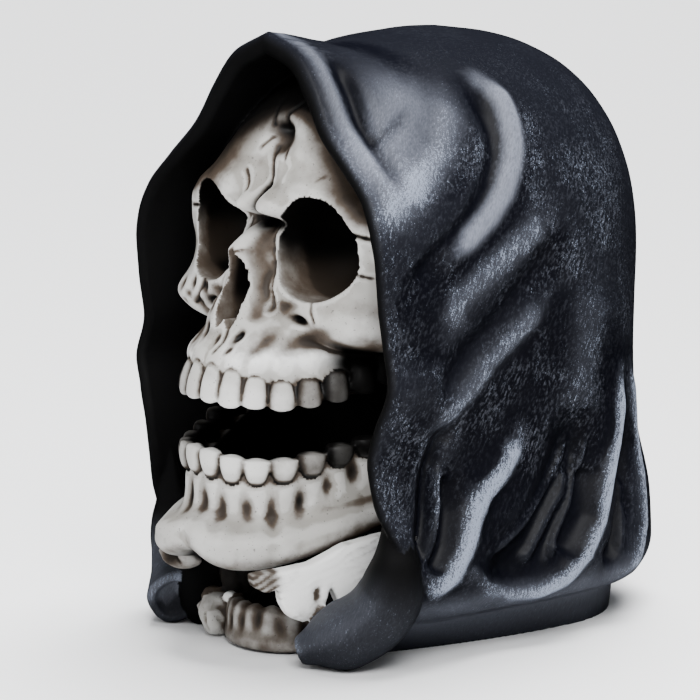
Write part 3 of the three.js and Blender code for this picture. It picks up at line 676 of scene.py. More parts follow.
class Arch:
    """The arch that a row of teeth follows, stepped off from the middle of the front.

    The heading is in degrees by length. PITCH is the teeth's widths, and a row's marks fade over ROW_END.
    """

    STEP = 0.1
    LENGTH = 72.0
    ROW_END = (46.0, 52.0)
    HEADING: Stations = (
        (0, 0), (3, 10), (6, 21), (9, 32), (12, 42), (15, 49), (18, 56), (24, 64), (30, 68.5), (40, 71.5),
        (80, 73),
    )
    PITCH = (5.2, 5.4, 5.7, 6.1, 6.3, 6.4, 6.5, 6.5)

    def __init__(self, front: float, spacing: float = 1.0) -> None:
        """Steps the arch off.

        Args:
            front: depth of its foremost point.
            spacing: share by which the teeth are wider than the upper ones.
        """
        middles = np.arange(0, self.LENGTH, self.STEP) + self.STEP / 2
        heading = np.radians(Curve(self.HEADING)(middles))
        self.length = np.concatenate([[0.0], middles + self.STEP / 2])
        self.x = np.concatenate([[0.0], np.cumsum(self.STEP * np.cos(heading))])
        self.y = front + np.concatenate([[0.0], np.cumsum(self.STEP * np.sin(heading))])
        self.heading = np.concatenate([[0.0], heading])
        self.turn = np.arctan2(self.x, -self.y)
        self.pitch = spacing * np.array(self.PITCH)
        self.starts = np.concatenate([[0.0], np.cumsum(self.pitch)])

    def place(self, length: Array, outwards: Array) -> tuple[Array, Array]:
        """A point at a length along the arch and a distance outwards from it.

        Args:
            length: signed length from the middle; positive on the figure's left.
            outwards: distance out of the mouth.

        Returns:
            tuple: x and y.
        """
        run = np.abs(length)
        heading = np.interp(run, self.length, self.heading)
        side = np.where(np.asarray(length) < 0, -1.0, 1.0)
        x = side * (np.interp(run, self.length, self.x) + outwards * np.sin(heading))
        return x, np.interp(run, self.length, self.y) - outwards * np.cos(heading)

    def length_at(self, turn: Array) -> Array:
        """Unsigned length along the arch that is seen in a direction from the skull's axis."""
        return np.interp(np.abs(turn), self.turn, self.length)

    def gap_share(self, length: Array) -> Array:
        """Where between two neighbouring teeth a length lies.

        Args:
            length: length from the middle.

        Returns:
            Array: 0 in the middle of a tooth, 1 between two teeth.
        """
        run = np.abs(length)
        i = np.clip(np.searchsorted(self.starts, run, "right") - 1, 0, len(self.pitch) - 1)
        share = (run - self.starts[i]) / self.pitch[i]
        return np.clip(np.abs(2 * share - 1), 0, 1)


UPPER_ARCH = Arch(-56.4)
LOWER_ARCH = Arch(-55.8, 1.035)
LEAN = math.radians(3.6)
LEAN_PIVOT = (-40.0, 80.0)


def leaned(x: Array, y: Array, z: Array) -> Array:
    """Leans the skull towards the figure's left inside the cowl.

    Args:
        x: across, in the skull's own upright frame.
        y: depth.
        z: height.

    Returns:
        Array: places by 3 in the figurine's frame.
    """
    x, y, z = np.broadcast_arrays(np.asarray(x, float), np.asarray(y, float), np.asarray(z, float))
    rise = z - LEAN_PIVOT[1]
    return np.stack([
        x * math.cos(LEAN) + rise * math.sin(LEAN), y,
        LEAN_PIVOT[1] - x * math.sin(LEAN) + rise * math.cos(LEAN),
    ], -1)


@dataclass(frozen=True)
class Dent:
    """A rounded lump or hollow on the face.

    Attributes:
        x: across.
        z: height.
        rise: how far it stands out, negative for a hollow.
        half_width: its half width.
        half_height: its half height.
        tilt: degrees its long side leans to +X.
        wash: brown wash it holds.
        soot: black it holds.
        both: True for one on each side.
    """

    x: float
    z: float
    rise: float
    half_width: float
    half_height: float
    tilt: float = 0.0
    wash: float = 0.0
    soot: float = 0.0
    both: bool = False

    def relief(self, x: Array, z: Array) -> tuple[Array, Array]:
        """The dent over the face: a bell curve of its two half sizes.

        Args:
            x: across.
            z: height.

        Returns:
            tuple: rise, and the profile that holds its paint.
        """
        across = np.abs(x) if self.both else x
        u, v = turned(across - self.x, z - self.z, self.tilt)
        profile = np.exp(-((u / self.half_width) ** 2) - (v / self.half_height) ** 2)
        return self.rise * profile, profile


@dataclass(frozen=True)
class Groove:
    """A crack, seam or groove on the face, along a line.

    Attributes:
        path: its line as [across, height] pairs.
        rise: depth as a negative rise, or the rise of a ridge.
        spread: its half width.
        wash: brown wash it holds.
        soot: black it holds.
        lips: rise of the bone along its sides.
    """

    path: Path
    rise: float
    spread: float
    wash: float = 0.0
    soot: float = 0.0
    lips: float = 0.0

    def mirrored(self) -> tuple["Groove", "Groove"]:
        """The groove and its like on the other side."""
        return self, replace(self, path=tuple((-x, z) for x, z in self.path))

    def relief(self, x: Array, z: Array) -> tuple[Array, Array]:
        """The groove over the face: a bell curve across its line, with raised lips beside it.

        Args:
            x: across.
            z: height.

        Returns:
            tuple: rise, and the profile that holds its paint.
        """
        gap, _ = Track(self.path).measure(x, z)
        profile = bump(gap, self.spread)
        beside = bump(np.abs(gap) - 2.2 * self.spread, 1.3 * self.spread)
        return self.rise * profile + self.lips * beside, profile


@dataclass(frozen=True)
class Skull:
    """The upper skull: brow, sockets, nose, cheekbones and the upper jaw, down to the upper teeth.

    Attributes hold the driving sizes in mm, in the skull's own upright frame.
    """

    face_half_width: Stations = (
        (58, 20), (66, 22), (69.5, 28), (71, 33), (73, 36.2), (77, 37.8), (82, 37), (88, 36.2), (94, 37.2),
        (99, 37.4), (103, 36), (107, 33.2), (110, 31.5), (114, 28.8), (119.5, 25.5), (124.3, 22.3),
        (127, 20.5), (131, 16.5), (134, 13), (137, 9),
    )
    face_depth: Stations = (
        (58, 33), (66, 34), (69.5, 36.5), (71, 39.5), (73, 42.3), (77, 43.6), (82, 43.5), (94, 43.4),
        (98, 43.2), (103, 42.6), (107, 41.2), (110, 40.2), (114, 38.6), (119.5, 36), (124.3, 32), (127, 28.6),
        (131, 20.5), (134, 15), (137, 11),
    )
    face_squareness: Stations = (
        (58, 2.6), (70, 3.2), (76, 3.2), (92, 2.9), (103, 2.9), (110, 2.7), (122, 2.3), (134, 2),
    )
    brow_height: float = 105.3
    brow_rise: float = 1.5
    brow_spread: float = 3.0
    brow_level: float = 12.0
    brow_droop: float = 0.0012
    brow_span: tuple[float, float, float, float] = (4.0, 10.0, 28.0, 33.0)
    bridge_hollow: Pair = (3.6, 9.0)
    muzzle_half_width: Stations = (
        (60, 23.5), (64, 25), (68, 25.5), (72.7, 23.5), (75.5, 21.5), (78, 18.5), (81, 13), (84, 11),
        (89, 10.2), (92, 10), (96, 10), (99, 10),
    )
    muzzle_depth: Stations = (
        (60, 52), (64, 54.8), (67, 55.8), (68.5, 55.3), (70.3, 53.9), (72.7, 52), (75.5, 51), (78, 50.3),
        (84, 49.6), (89, 49.6), (91.2, 49.4), (92.5, 48.1), (94, 46.1), (96, 43.4), (97.4, 40.6), (99, 38),
    )
    muzzle_squareness: Stations = ((60, 2.2), (76, 2.3), (80, 2.4), (85, 2.1), (89, 2), (92, 1.95), (95, 1.9))
    muzzle_fade: Pair = (96.0, 99.5)
    muzzle_blend: float = 1.2
    gum: Stations = ((0, 67), (6, 66.4), (11, 65.3), (16, 64), (22, 63.4), (28, 64.9), (35, 66.6), (45, 69))
    gum_dip: float = 2.6
    gum_step: float = 1.9
    heights: Pair = (59.5, 137.0)
    grid: tuple[int, int] = (290, 460)
    edge_half_width: Stations = (
        (60, 46), (80, 44), (90, 40), (98, 34.5), (106, 27.5), (115, 20.5), (120.5, 12), (124, 3.5),
        (126.5, 0),
    )
    dents: tuple[Dent, ...] = (
        # lumps over the nose, cheekbones and the hollows beside them
        Dent(2.2, 103.5, 0.6, 7, 3), Dent(5.9, 101.1, 4, 4, 2.3, -4), Dent(-1.9, 101, 3.6, 1.9, 2.2, 8),
        Dent(6.5, 105.4, -0.7, 4, 1.7, wash=0.12), Dent(-7.5, 97.5, -2.4, 3.4, 4),
        Dent(29, 76.6, 3, 6.2, 4.8, both=True), Dent(32, 92, 2.6, 3.4, 9, both=True),
        # the black at the root of the nose is painted shadow under the brow lumps
        Dent(2.8, 97.3, -3.2, 6.6, 1.6, wash=0.6, soot=1.2), Dent(0.9, 99.2, -0.8, 1.3, 1.4, soot=0.7),
        Dent(1.6, 90.8, 0.7, 2.3, 1.3, wash=0.2), Dent(8, 108.5, -0.7, 3.4, 3),
        Dent(-10, 104.5, 0.4, 2.6, 4.5, 20), Dent(12.5, 112, 0.8, 8, 8), Dent(-12.5, 112, 0.8, 8, 8),
        Dent(1.5, 107, -0.8, 2.6, 5),
        # the broken hole in the forehead
        Dent(1, 117.6, -3.2, 2.7, 1.9, wash=0.9, soot=0.75),
        Dent(3, 115.4, -2.6, 2.8, 2.6, wash=0.75, soot=0.15), Dent(2.2, 113.6, -0.9, 2.2, 1.6, wash=0.5),
        # brown stains with little depth, partly painted shade: the forehead's sides by the cowl, the temple
        # and below the cheekbones
        Dent(-1.6, 110.4, -0.2, 2.8, 1.9, wash=0.34), Dent(3.4, 108.2, -0.2, 2.4, 1.6, wash=0.3),
        Dent(-6.6, 109.4, -0.1, 2, 1.4, wash=0.2), Dent(-13, 111, 0, 7, 9, wash=0.3),
        Dent(15, 113, 0, 7, 9, wash=0.2), Dent(1, 105, 0, 3, 4, wash=0.15), Dent(26, 104, 0, 5, 7, wash=0.25),
        Dent(24, 70.5, 0, 4, 3, wash=0.5), Dent(-8, 71, 0, 7, 6, wash=0.34),
        Dent(5, 74.5, 0, 5, 2.4, wash=0.2), Dent(27, 81, 0, 6, 2.6, wash=0.2),
        Dent(22, 75.2, -0.5, 4.6, 1.8, -14, wash=0.3), Dent(32, 82, 0, 3, 4, wash=0.24),
        Dent(22.5, 80.5, 0, 2.2, 3.4, wash=0.2), Dent(27, 72, 0, 6, 1.6, wash=0.3),
        Dent(7.5, 94, 0, 1.2, 6, wash=0.35), Dent(13, 79.5, 0, 3.5, 2.5, wash=0.3, both=True),
        Dent(25, 72.6, 0, 5, 1.2, wash=0.3), Dent(-16, 104.5, 0, 7, 2.4, wash=0.2),
        Dent(-33, 80, 0, 2.5, 5, wash=0.5),
        # openings and pits of the upper jaw and of the far cheek
        Dent(15.4, 77.1, -3.4, 2.1, 1, 8, wash=0.9, soot=1, both=True),
        Dent(5.4, 72.5, -1.7, 0.8, 1.5, 25, wash=0.9, soot=0.9, both=True),
        Dent(5.1, 69.6, -0.8, 0.5, 0.9, 25, wash=0.8, soot=0.5),
        Dent(0.5, 71.2, -0.6, 0.6, 1.2, wash=0.8, soot=0.4), Dent(-27, 78.6, -0.8, 1.2, 1.8, wash=0.55),
        Dent(-22.5, 79.8, -0.9, 0.9, 1.6, wash=0.7, soot=0.3),
        Dent(-17.6, 79.8, -1.2, 1.2, 1.9, wash=0.8, soot=0.5), Dent(-20.5, 75.8, -0.9, 1.5, 1.2, wash=0.6),
        Dent(-23.8, 77, -0.7, 1, 1, wash=0.6), Dent(-25.5, 75, -0.5, 0.9, 0.8, wash=0.5),
        Dent(10.6, 71.6, -1.2, 2, 4.2, 24, wash=0.56, both=True),
        Dent(17.4, 72.6, -1.7, 2.5, 5, 56, wash=0.74, soot=0.12, both=True),
        Dent(7.2, 70.6, -0.7, 1.2, 3.2, 18, wash=0.15, both=True),
        Dent(12, 79.8, -0.9, 3.2, 1.8, wash=0.4, both=True),
        Dent(24.5, 68.6, -0.8, 3.2, 3.6, wash=0.8, soot=0.8, both=True),
        Dent(31.5, 73.5, -0.5, 3.2, 2.4, wash=0.5, both=True),
    )
    grooves: tuple[Groove, ...] = (
        Groove(((2.9, 105.6), (1.6, 103.8), (0.9, 102), (0.8, 100.5), (1.3, 98.6), (1.8, 97)), -2.7, 0.75,
             wash=0.9, soot=0.95),
        Groove(((0.9, 113.6), (1.5, 112), (2.3, 109.7), (3.1, 107.4), (2.9, 105.6)), -0.6, 0.45, 0.75, 0.3,
             0.25),
        Groove(((-2.2, 118.2), (-2.6, 120.5), (-3.6, 123.5)), -0.55, 0.34, wash=0.7, soot=0.2),
        Groove(((1.2, 119), (1.2, 121), (2.9, 122.6), (4, 124.2)), -0.65, 0.4, wash=0.8, soot=0.35,
             lips=0.15),
        Groove(((-1.2, 115.5), (-2.9, 113.4)), -0.5, 0.4, wash=0.7, soot=0.2),
        Groove(((3.4, 112), (6.6, 111.6), (8, 110.2), (7.4, 107.2)), 0.35, 0.7),
        Groove(((5.2, 113.2), (6, 111.6)), -0.5, 0.35, wash=0.7, soot=0.3),
        Groove(((-5.2, 108), (-4, 106.6), (-3.2, 105.2), (-2.8, 104)), -0.7, 0.42, 0.7, 0.2, 0.12),
        Groove(((16, 108), (17.6, 109.1)), -0.2, 0.2, wash=0.5, soot=0.1),
        Groove(((0, 91.7), (1, 91), (2.3, 91.4)), -0.4, 0.3, wash=0.7, soot=0.3),
        *Groove(((4.8, 97), (5.2, 93), (6.3, 88), (7.6, 83), (9.4, 78.6)), -0.6, 0.3, 0.5, 0.2,
             0.6).mirrored(),
        *Groove(((3.6, 95), (4.6, 89), (5.8, 83), (7.4, 77.5)), -0.5, 1.5, wash=0.75).mirrored(),
        Groove(((18.6, 82), (18.8, 79.5), (19.8, 77.2)), -0.6, 0.32, wash=0.7, soot=0.4, lips=0.15),
        Groove(((-18.6, 82), (-18.9, 79.5), (-20.4, 77.2), (-22.2, 75.2)), -0.8, 0.4, wash=0.7, soot=0.5),
        *Groove(((26.2, 97.2), (29.5, 96.6)), -0.8, 0.4, wash=0.8, soot=0.9).mirrored(),
        Groove(((27.2, 88.4), (29.2, 88)), -0.5, 0.35, wash=0.8, soot=0.6),
        Groove(((1.6, 76), (2.2, 73), (2.6, 71), (1.8, 68.8)), -0.7, 0.4, wash=0.6, soot=0.5),
        Groove(((8.5, 79.5), (11, 76.5), (13.5, 75)), 0.5, 1.4),
    )

    def brow(self, x: Array, z: Array) -> Array:
        """The ridge over the sockets: a raised band above each socket's upper edge.

        Args:
            x: across.
            z: height.

        Returns:
            Array: its rise.
        """
        side = np.abs(x)
        start, full, fading, end = self.brow_span
        line = self.brow_height - self.brow_droop * np.maximum(side - self.brow_level, 0) ** 3
        band = self.brow_rise * bump(z - line, self.brow_spread)
        return band * ramp(side, start, full) * (1 - ramp(side, fading, end))

    def surface(self, turn: Array, z: Array) -> tuple[Array, Array, Array]:
        """The skull's skin: a rounded section at each height, the muzzle blended in and every mark added.

        Args:
            turn: direction from the front.
            z: height.

        Returns:
            tuple: x and y of the skin, and its paint.
        """
        face_size = Curve(self.face_half_width)(z), Curve(self.face_depth)(z)
        face = reach(turn, *face_size, Curve(self.face_squareness)(z))
        dip, spread = self.bridge_hollow
        face = face - dip * bump(face * np.sin(turn), spread) * ramp(z, 83, 88) * (1 - ramp(z, 97.5, 100.5))
        muzzle_size = Curve(self.muzzle_half_width)(z), Curve(self.muzzle_depth)(z)
        muzzle = reach(turn, *muzzle_size, Curve(self.muzzle_squareness)(z))
        ahead = np.abs(turn) < np.pi / 2
        joined = mix(soft_max(face, muzzle, self.muzzle_blend), face, ramp(z, *self.muzzle_fade))
        radius = np.where(ahead, joined, face)
        x = radius * np.sin(turn)
        front = ramp(np.cos(turn), 0, 0.3)
        rise, wash, soot = self.brow(x, z), np.zeros_like(z), np.zeros_like(z)
        for mark in (*self.dents, *self.grooves):
            lift, profile = mark.relief(x, z)
            rise += lift
            wash += mark.wash * profile
            soot += mark.soot * profile
        length = UPPER_ARCH.length_at(turn)
        gap = UPPER_ARCH.gap_share(length)
        line = Curve(self.gum)(length) - self.gum_dip * gap**2.2
        above = z - line
        jaw = 1 - ramp(length, *Arch.ROW_END)
        rise -= jaw * self.gum_step * (1 - ramp(above, -0.7, 0.3))
        rise += jaw * (0.35 * bump(above - 1.0, 0.9) + 0.3 * (1 - gap**2) * bump(above - 3.0, 2.4))
        wash += jaw * (0.95 * bump(above + 0.25, 0.55) + 0.8 * (1 - ramp(above, -1.4, -0.2)))
        radius = radius + front * rise
        side = np.abs(x)
        edge = Curve(self.edge_half_width)(z)
        fade = ramp(side, edge - 4.5, edge + 0.8)
        # painted shade of the cowl: brown along the face's edge from the brow up, and brown, then black
        # higher up, over the far side of the forehead, less on the near side
        wash += 0.8 * bump(side - edge + 2.6, 3.4) * ramp(z, 96, 104)
        far = ramp(-x - edge, -21, -5) * ramp(z, 97, 106)
        wash += 0.85 * far + 0.4 * ramp(x - edge, -13, -3) * ramp(z, 97, 106)
        soot += fade + (1 - front) + ramp(z, 122, 128) + 0.8 * far * ramp(z, 104, 118)
        # painted shadow below the cheekbones at the ends of the upper jaw
        shade_below = (1 - ramp(z, 67, 75.5)) * ramp(side, 17.5, 24.0)
        soot += shade_below + jaw * 0.4 * (1 - ramp(above, -3.2, -1.2))
        white = 0.8 * bump(z - (68.6 + 0.05 * side), 2.6) * ramp(side, 3, 9) * (1 - ramp(side, 24, 29))
        paint = paint_layer(z.shape, bone=1.0, wash=wash * front, soot=soot, white=white)
        return radius * np.sin(turn), -radius * np.cos(turn), paint

    def head(self) -> Shell:
        """The skin as a closed shell, before its sockets are cut.

        Returns:
            Shell: the skull's outside.
        """
        rows, columns = self.grid
        t = np.linspace(-1, 1, columns, endpoint=False)
        z, t = np.meshgrid(np.linspace(*self.heights, rows), t, indexing="ij")
        turn = np.pi * (0.36 * t + 0.64 * t**3)
        x, y, paint = self.surface(turn, z)
        points = leaned(x, y, z)
        floor = np.broadcast_to(leaned(0, -10, self.heights[0]), points[:1].shape)
        crown = np.broadcast_to(leaned(0, 0, self.heights[1]), points[:1].shape)
        paint = np.concatenate([paint[:1], paint, paint[-1:]])
        return Shell.woven(np.concatenate([floor, points, crown]), paint)


@dataclass(frozen=True)
class Socket:
    """A hollow cut into the face: an outline carried straight back and closed by a bowl.

    Attributes:
        front: depth where the cutter starts, ahead of the face.
        wall: depth where the bowl begins.
        floor: depth of the bowl's middle.
        grid: points from front to back, and points round.
        straight: share of the rows that lie ahead of the bowl.
    """

    front: float
    wall: float
    floor: float
    grid: tuple[int, int] = (60, 140)
    straight: float = 0.35

    def cut(self, outline: Callable[[Array], tuple[Array, Array]], middle: Pair,
            paint: Callable[[Array, Array, Array], Array], undercut: float = 0.0) -> Shell:
        """The cutter's shell.

        Args:
            outline: gives x and z round the opening for a turn.
            middle: x and z towards which it closes.
            paint: gives the paint for x, y and z.
            undercut: how far the bowl widens behind the rim, as a share.

        Returns:
            Shell: the closed cutter.
        """
        v, turn = ring_grid(0, 1, self.grid)
        bowl = np.clip((v - self.straight) / (1 - self.straight), 0, 1)
        ahead = mix(self.front, self.wall, v / self.straight)
        y = np.where(v < self.straight, ahead, mix(self.wall, self.floor, np.sin(np.pi / 2 * bowl)))
        widening = 1 + undercut * np.sin(np.pi * np.clip(bowl * 1.5, 0, 1))
        size = np.cos(np.pi / 2 * bowl).clip(0) ** 0.75 * widening
        x, z = outline(turn)
        x, z = middle[0] + (x - middle[0]) * size, middle[1] + (z - middle[1]) * size
        points = leaned(x, y, z)
        start = np.broadcast_to(leaned(middle[0], self.front, middle[1]), points[:1].shape)
        layer = paint(x, y, z)
        return Shell.woven(np.concatenate([start, points]), np.concatenate([layer[:1], layer]))


@dataclass(frozen=True)
class Hollows:
    """The eye sockets and the nose opening.

    Attributes hold the driving sizes in mm, in the skull's own upright frame. The orbit's flat and corner are
    each how far its outline draws in, in which direction in radians and over what spread.
    """

    orbit_cut: Socket = Socket(-62.0, -34.0, -20.5)
    nose_cut: Socket = Socket(-62.0, -45.0, -38.5, grid=(44, 110))
    undercut: float = 0.05
    orbit_x: float = 17.0
    orbit_z: float = 93.0
    orbit_half_width: float = 10.4
    orbit_half_height: float = 11.5
    orbit_squareness: float = 2.25
    orbit_flat: Triple = (0.9, 0.9, 0.4)
    orbit_corner: Triple = (1.5, -0.72, 0.36)
    nose_top: float = 90.2
    nose_bottom: float = 73.4
    nose_half_width: float = 3.8

    def orbit(self, side: int) -> Shell:
        """One eye socket.

        Args:
            side: 1 for the figure's left, -1 for its right.

        Returns:
            Shell: its cutter.
        """
        def outline(turn: Array) -> tuple[Array, Array]:
            """A rounded square, a little flattened above its outer and its inner corner.

            Args:
                turn: direction round the opening, from straight up.

            Returns:
                tuple: x and z.
            """
            size = reach(turn, self.orbit_half_width, self.orbit_half_height, self.orbit_squareness)
            for drop, where, spread in (self.orbit_flat, self.orbit_corner):
                size = size - drop * bump(np.arctan2(np.sin(turn - where), np.cos(turn - where)), spread)
            return side * (self.orbit_x + size * np.sin(turn)), self.orbit_z + size * np.cos(turn)

        def paint(x: Array, y: Array, z: Array) -> Array:
            """Brown, with painted shade: black above, under the brow, and deeper in; a painted shadow
            crescent at the outer corner.

            Args:
                x: across.
                y: depth.
                z: height.

            Returns:
                Array: its layer.
            """
            # painted shade: darker deeper in the socket and higher up under the brow
            deep = mix(ramp(y, -46.5, -37.0), ramp(y, -45.6, -42.8), ramp(z, 90, 97))
            dark = ramp(z - 0.25 * np.abs(x), 80.5, 94)
            shadow_crescent = 0.8 * bump(z - 82.6, 1.6) * ramp(np.abs(x), 14, 20) * ramp(y, -38, -30)
            soot = deep * (0.06 + 0.92 * dark) + shadow_crescent
            return paint_layer(x.shape, bone=1.0, wash=0.3 + 0.3 * deep, soot=soot)

        middle = side * (self.orbit_x - 1), self.orbit_z - 0.5
        return self.orbit_cut.cut(outline, middle, paint, self.undercut)

    def nose(self) -> Shell:
        """The nose opening: narrow above, two lobes below with a spike of bone between them.

        Returns:
            Shell: its cutter.
        """
        middle = (self.nose_top + self.nose_bottom) / 2
        half_height = (self.nose_top - self.nose_bottom) / 2

        def outline(turn: Array) -> tuple[Array, Array]:
            """An upright oval with a spike below and a notch above.

            Args:
                turn: direction round the opening, from straight up.

            Returns:
                tuple: x and z.
            """
            up = np.cos(turn)
            narrowing = mix(1.02, 0.84, ramp(up, -0.2, 1))
            x = self.nose_half_width * narrowing * signed_power(np.sin(turn), 0.55)
            spike = 2.6 * bump(x, 1.0) * ramp(-up, 0.2, 0.9)
            notch = 1.3 * bump(x, 1.1) * ramp(up, 0.2, 0.9)
            return x, middle + half_height * up + spike + notch

        def paint(x: Array, y: Array, z: Array) -> Array:
            """Brown, with painted shade: darker deeper in and darkest in the upper half, under the nasal
            bones.

            Args:
                x: across.
                y: depth.
                z: height.

            Returns:
                Array: its layer.
            """
            # painted shade, deeper in and strongest in the upper half
            deep = ramp(y, -47.2, -43.4)
            soot = deep * (0.22 + 0.6 * ramp(z, 76.5, 82) * (1 - 0.3 * ramp(z, 87, 90)))
            return paint_layer(x.shape, bone=1.0, wash=0.6 + 0.2 * deep, soot=soot)

        return self.nose_cut.cut(outline, (0, middle - 1), paint)


@dataclass(frozen=True)
class ToothRow:
    """A row of teeth.

    Attributes:
        edge: height of the biting edge by length along the arch.
        neck: height of the necks.
        root_sign: 1 if the roots point up, -1 if down.
        root_sunk: how far a root runs on past its neck.
        widths: a crown's share of its pitch from root to edge.
        out: how far the crown's middle stands out of the arch from root to edge.
        thickness: half depth of the crown from root to edge.
        arch: the arch they stand on.
        tip: share of its height over which a crown rounds off.
        count: teeth on each side.
        neck_line: share of a tooth at which its brown neck ends.
        near_shade: length along the arch over which the near teeth go dark, as painted shade of the cowl.
        far_shade: the same for the far teeth.
        grid: rows and columns of points of a tooth.
    """

    edge: Stations
    neck: Stations
    root_sign: float
    root_sunk: float
    widths: Stations
    out: Stations
    thickness: Stations
    arch: Arch
    tip: float = 0.14
    count: int = 8
    neck_line: float = 0.24
    near_shade: Pair = (14.0, 28.0)
    far_shade: Pair = (1.0, 14.0)
    grid: tuple[int, int] = (34, 44)

    def coat(self, v: Array, turn: Array, middle: float) -> Array:
        """A tooth's paint: brown at its neck and flanks, black inside and where the cowl shades the row.

        Args:
            v: share of the way from the root to the edge.
            turn: direction from the tooth's front.
            middle: signed length of its middle along the arch.

        Returns:
            Array: its layer.
        """
        near, length = middle > 0, abs(middle)
        flank = np.abs(np.sin(turn)) ** 3
        inside = ramp(-np.cos(turn), 0.1, 0.6)
        # painted shade: the row goes dark along the arch where the cowl shades it
        shade = ramp(np.full_like(v, length), *(self.near_shade if near else self.far_shade))
        dark = 0.46 + 0.44 * float(ramp(length, 27, 36)) if near else 0.6
        neck = 1 - ramp(v, self.neck_line - 0.12, self.neck_line + 0.07)
        gum = 1 - ramp(v, self.neck_line - 0.14, self.neck_line)
        wash = 0.95 * neck + 0.7 * flank * (1 - ramp(v, 0.85, 1.0)) + 0.4 * shade
        soot = 0.9 * inside + dark * shade + 0.3 * flank + 0.75 * gum
        # painted highlight: the near teeth out of the cowl's shade are whiter towards their edge
        white = (0.22 if near else 0.0) * (1 - shade) * ramp(v, 0.35, 0.6)
        return paint_layer(v.shape, bone=1.0, wash=wash, soot=soot, white=white)

    def tooth(self, middle: float, pitch: float, seed: int) -> Shell:
        """One tooth: a rounded section carried from the root to the biting edge.

        Args:
            middle: signed length of its middle along the arch.
            pitch: its width.
            seed: number that gives it its own slight lean and size.

        Returns:
            Shell: the closed tooth.
        """
        own = np.random.default_rng(seed)
        lean, size, drop = own.normal(0, 0.16), 1 + own.normal(0, 0.02), own.normal(0, 0.18)
        v, turn = ring_grid(0, 1, self.grid)
        length = abs(middle)
        edge = Curve(self.edge)(length) + drop
        root = Curve(self.neck)(length) + self.root_sign * self.root_sunk
        closing = np.sqrt(np.clip(1 - np.clip((v - 1) / self.tip + 1, 0, 1) ** 2.6, 0, 1))
        rounded = np.clip(v / 0.07, 0, 1) ** 0.5
        half = 0.5 * pitch * size * Curve(self.widths)(v) * closing * rounded
        thicker = mix(1.0, 1.35, ramp(np.full_like(v, length), 10, 30))
        depth = Curve(self.thickness)(v) * thicker * closing * rounded
        across = half * signed_power(np.sin(turn), 0.72) + lean * v
        outward = Curve(self.out)(v) + depth * signed_power(np.cos(turn), 0.85)
        x, y = self.arch.place(middle + across, outward)
        bevel = 0.35 * (np.abs(across) / np.maximum(half, 0.3)).clip(0, 1) ** 3 * ramp(v, 0.7, 1.0)
        z = mix(root, edge, v) + self.root_sign * bevel
        return Shell.woven(leaned(x, y, z), self.coat(v, turn, middle))

    def build(self) -> list[Shell]:
        """All the teeth of the row.

        Returns:
            list[Shell]: one shell for each tooth.
        """
        teeth = []
        for side in (-1, 1):
            for i in range(self.count):
                middle = side * (self.arch.starts[i] + self.arch.pitch[i] / 2)
                seed = 100 + 10 * i + side + int(self.root_sign)
                teeth.append(self.tooth(middle, self.arch.pitch[i], seed))
        LOG.info("teeth: %d", len(teeth))
        return teeth


UPPER_TEETH = ToothRow(
    arch=UPPER_ARCH,
    edge=((0, 57.6), (8, 57.2), (14, 57.3), (20, 57.4), (25, 57.8), (30, 58.6), (35, 59.6), (45, 62)),
    neck=((0, 66.9), (6, 66.3), (11, 65.2), (16, 63.8), (22, 63.2), (28, 64.7), (35, 66.5), (45, 69)),
    root_sign=1.0, root_sunk=2.2,
    widths=((0, 0.6), (0.2, 0.72), (0.42, 0.9), (0.7, 0.985), (0.9, 1.0), (1, 0.98)),
    out=((0, -3.4), (0.25, -1.9), (0.6, -0.7), (1, 0.2)),
    thickness=((0, 1.3), (0.3, 1.9), (0.6, 2.0), (1, 1.4)),
)
LOWER_TEETH = ToothRow(
    arch=LOWER_ARCH,
    edge=((0, 48.2), (3, 47.3), (8, 46.5), (16, 46.2), (23, 47.2), (29, 48.5), (36, 50), (45, 52.2)),
    neck=((0, 41.6), (4, 41), (10, 40.6), (17, 41), (23, 42.1), (30, 43.9), (36, 46), (45, 48.4)),
    root_sign=-1.0, root_sunk=1.6,
    widths=((0, 0.42), (0.2, 0.62), (0.45, 0.86), (0.75, 0.99), (1, 1.0)),
    tip=0.07,
    out=((0, -2.6), (0.3, -1.1), (0.7, -0.3), (1, -0.2)),
    thickness=((0, 1.5), (0.3, 2.2), (0.7, 2.0), (1, 1.5)),
)


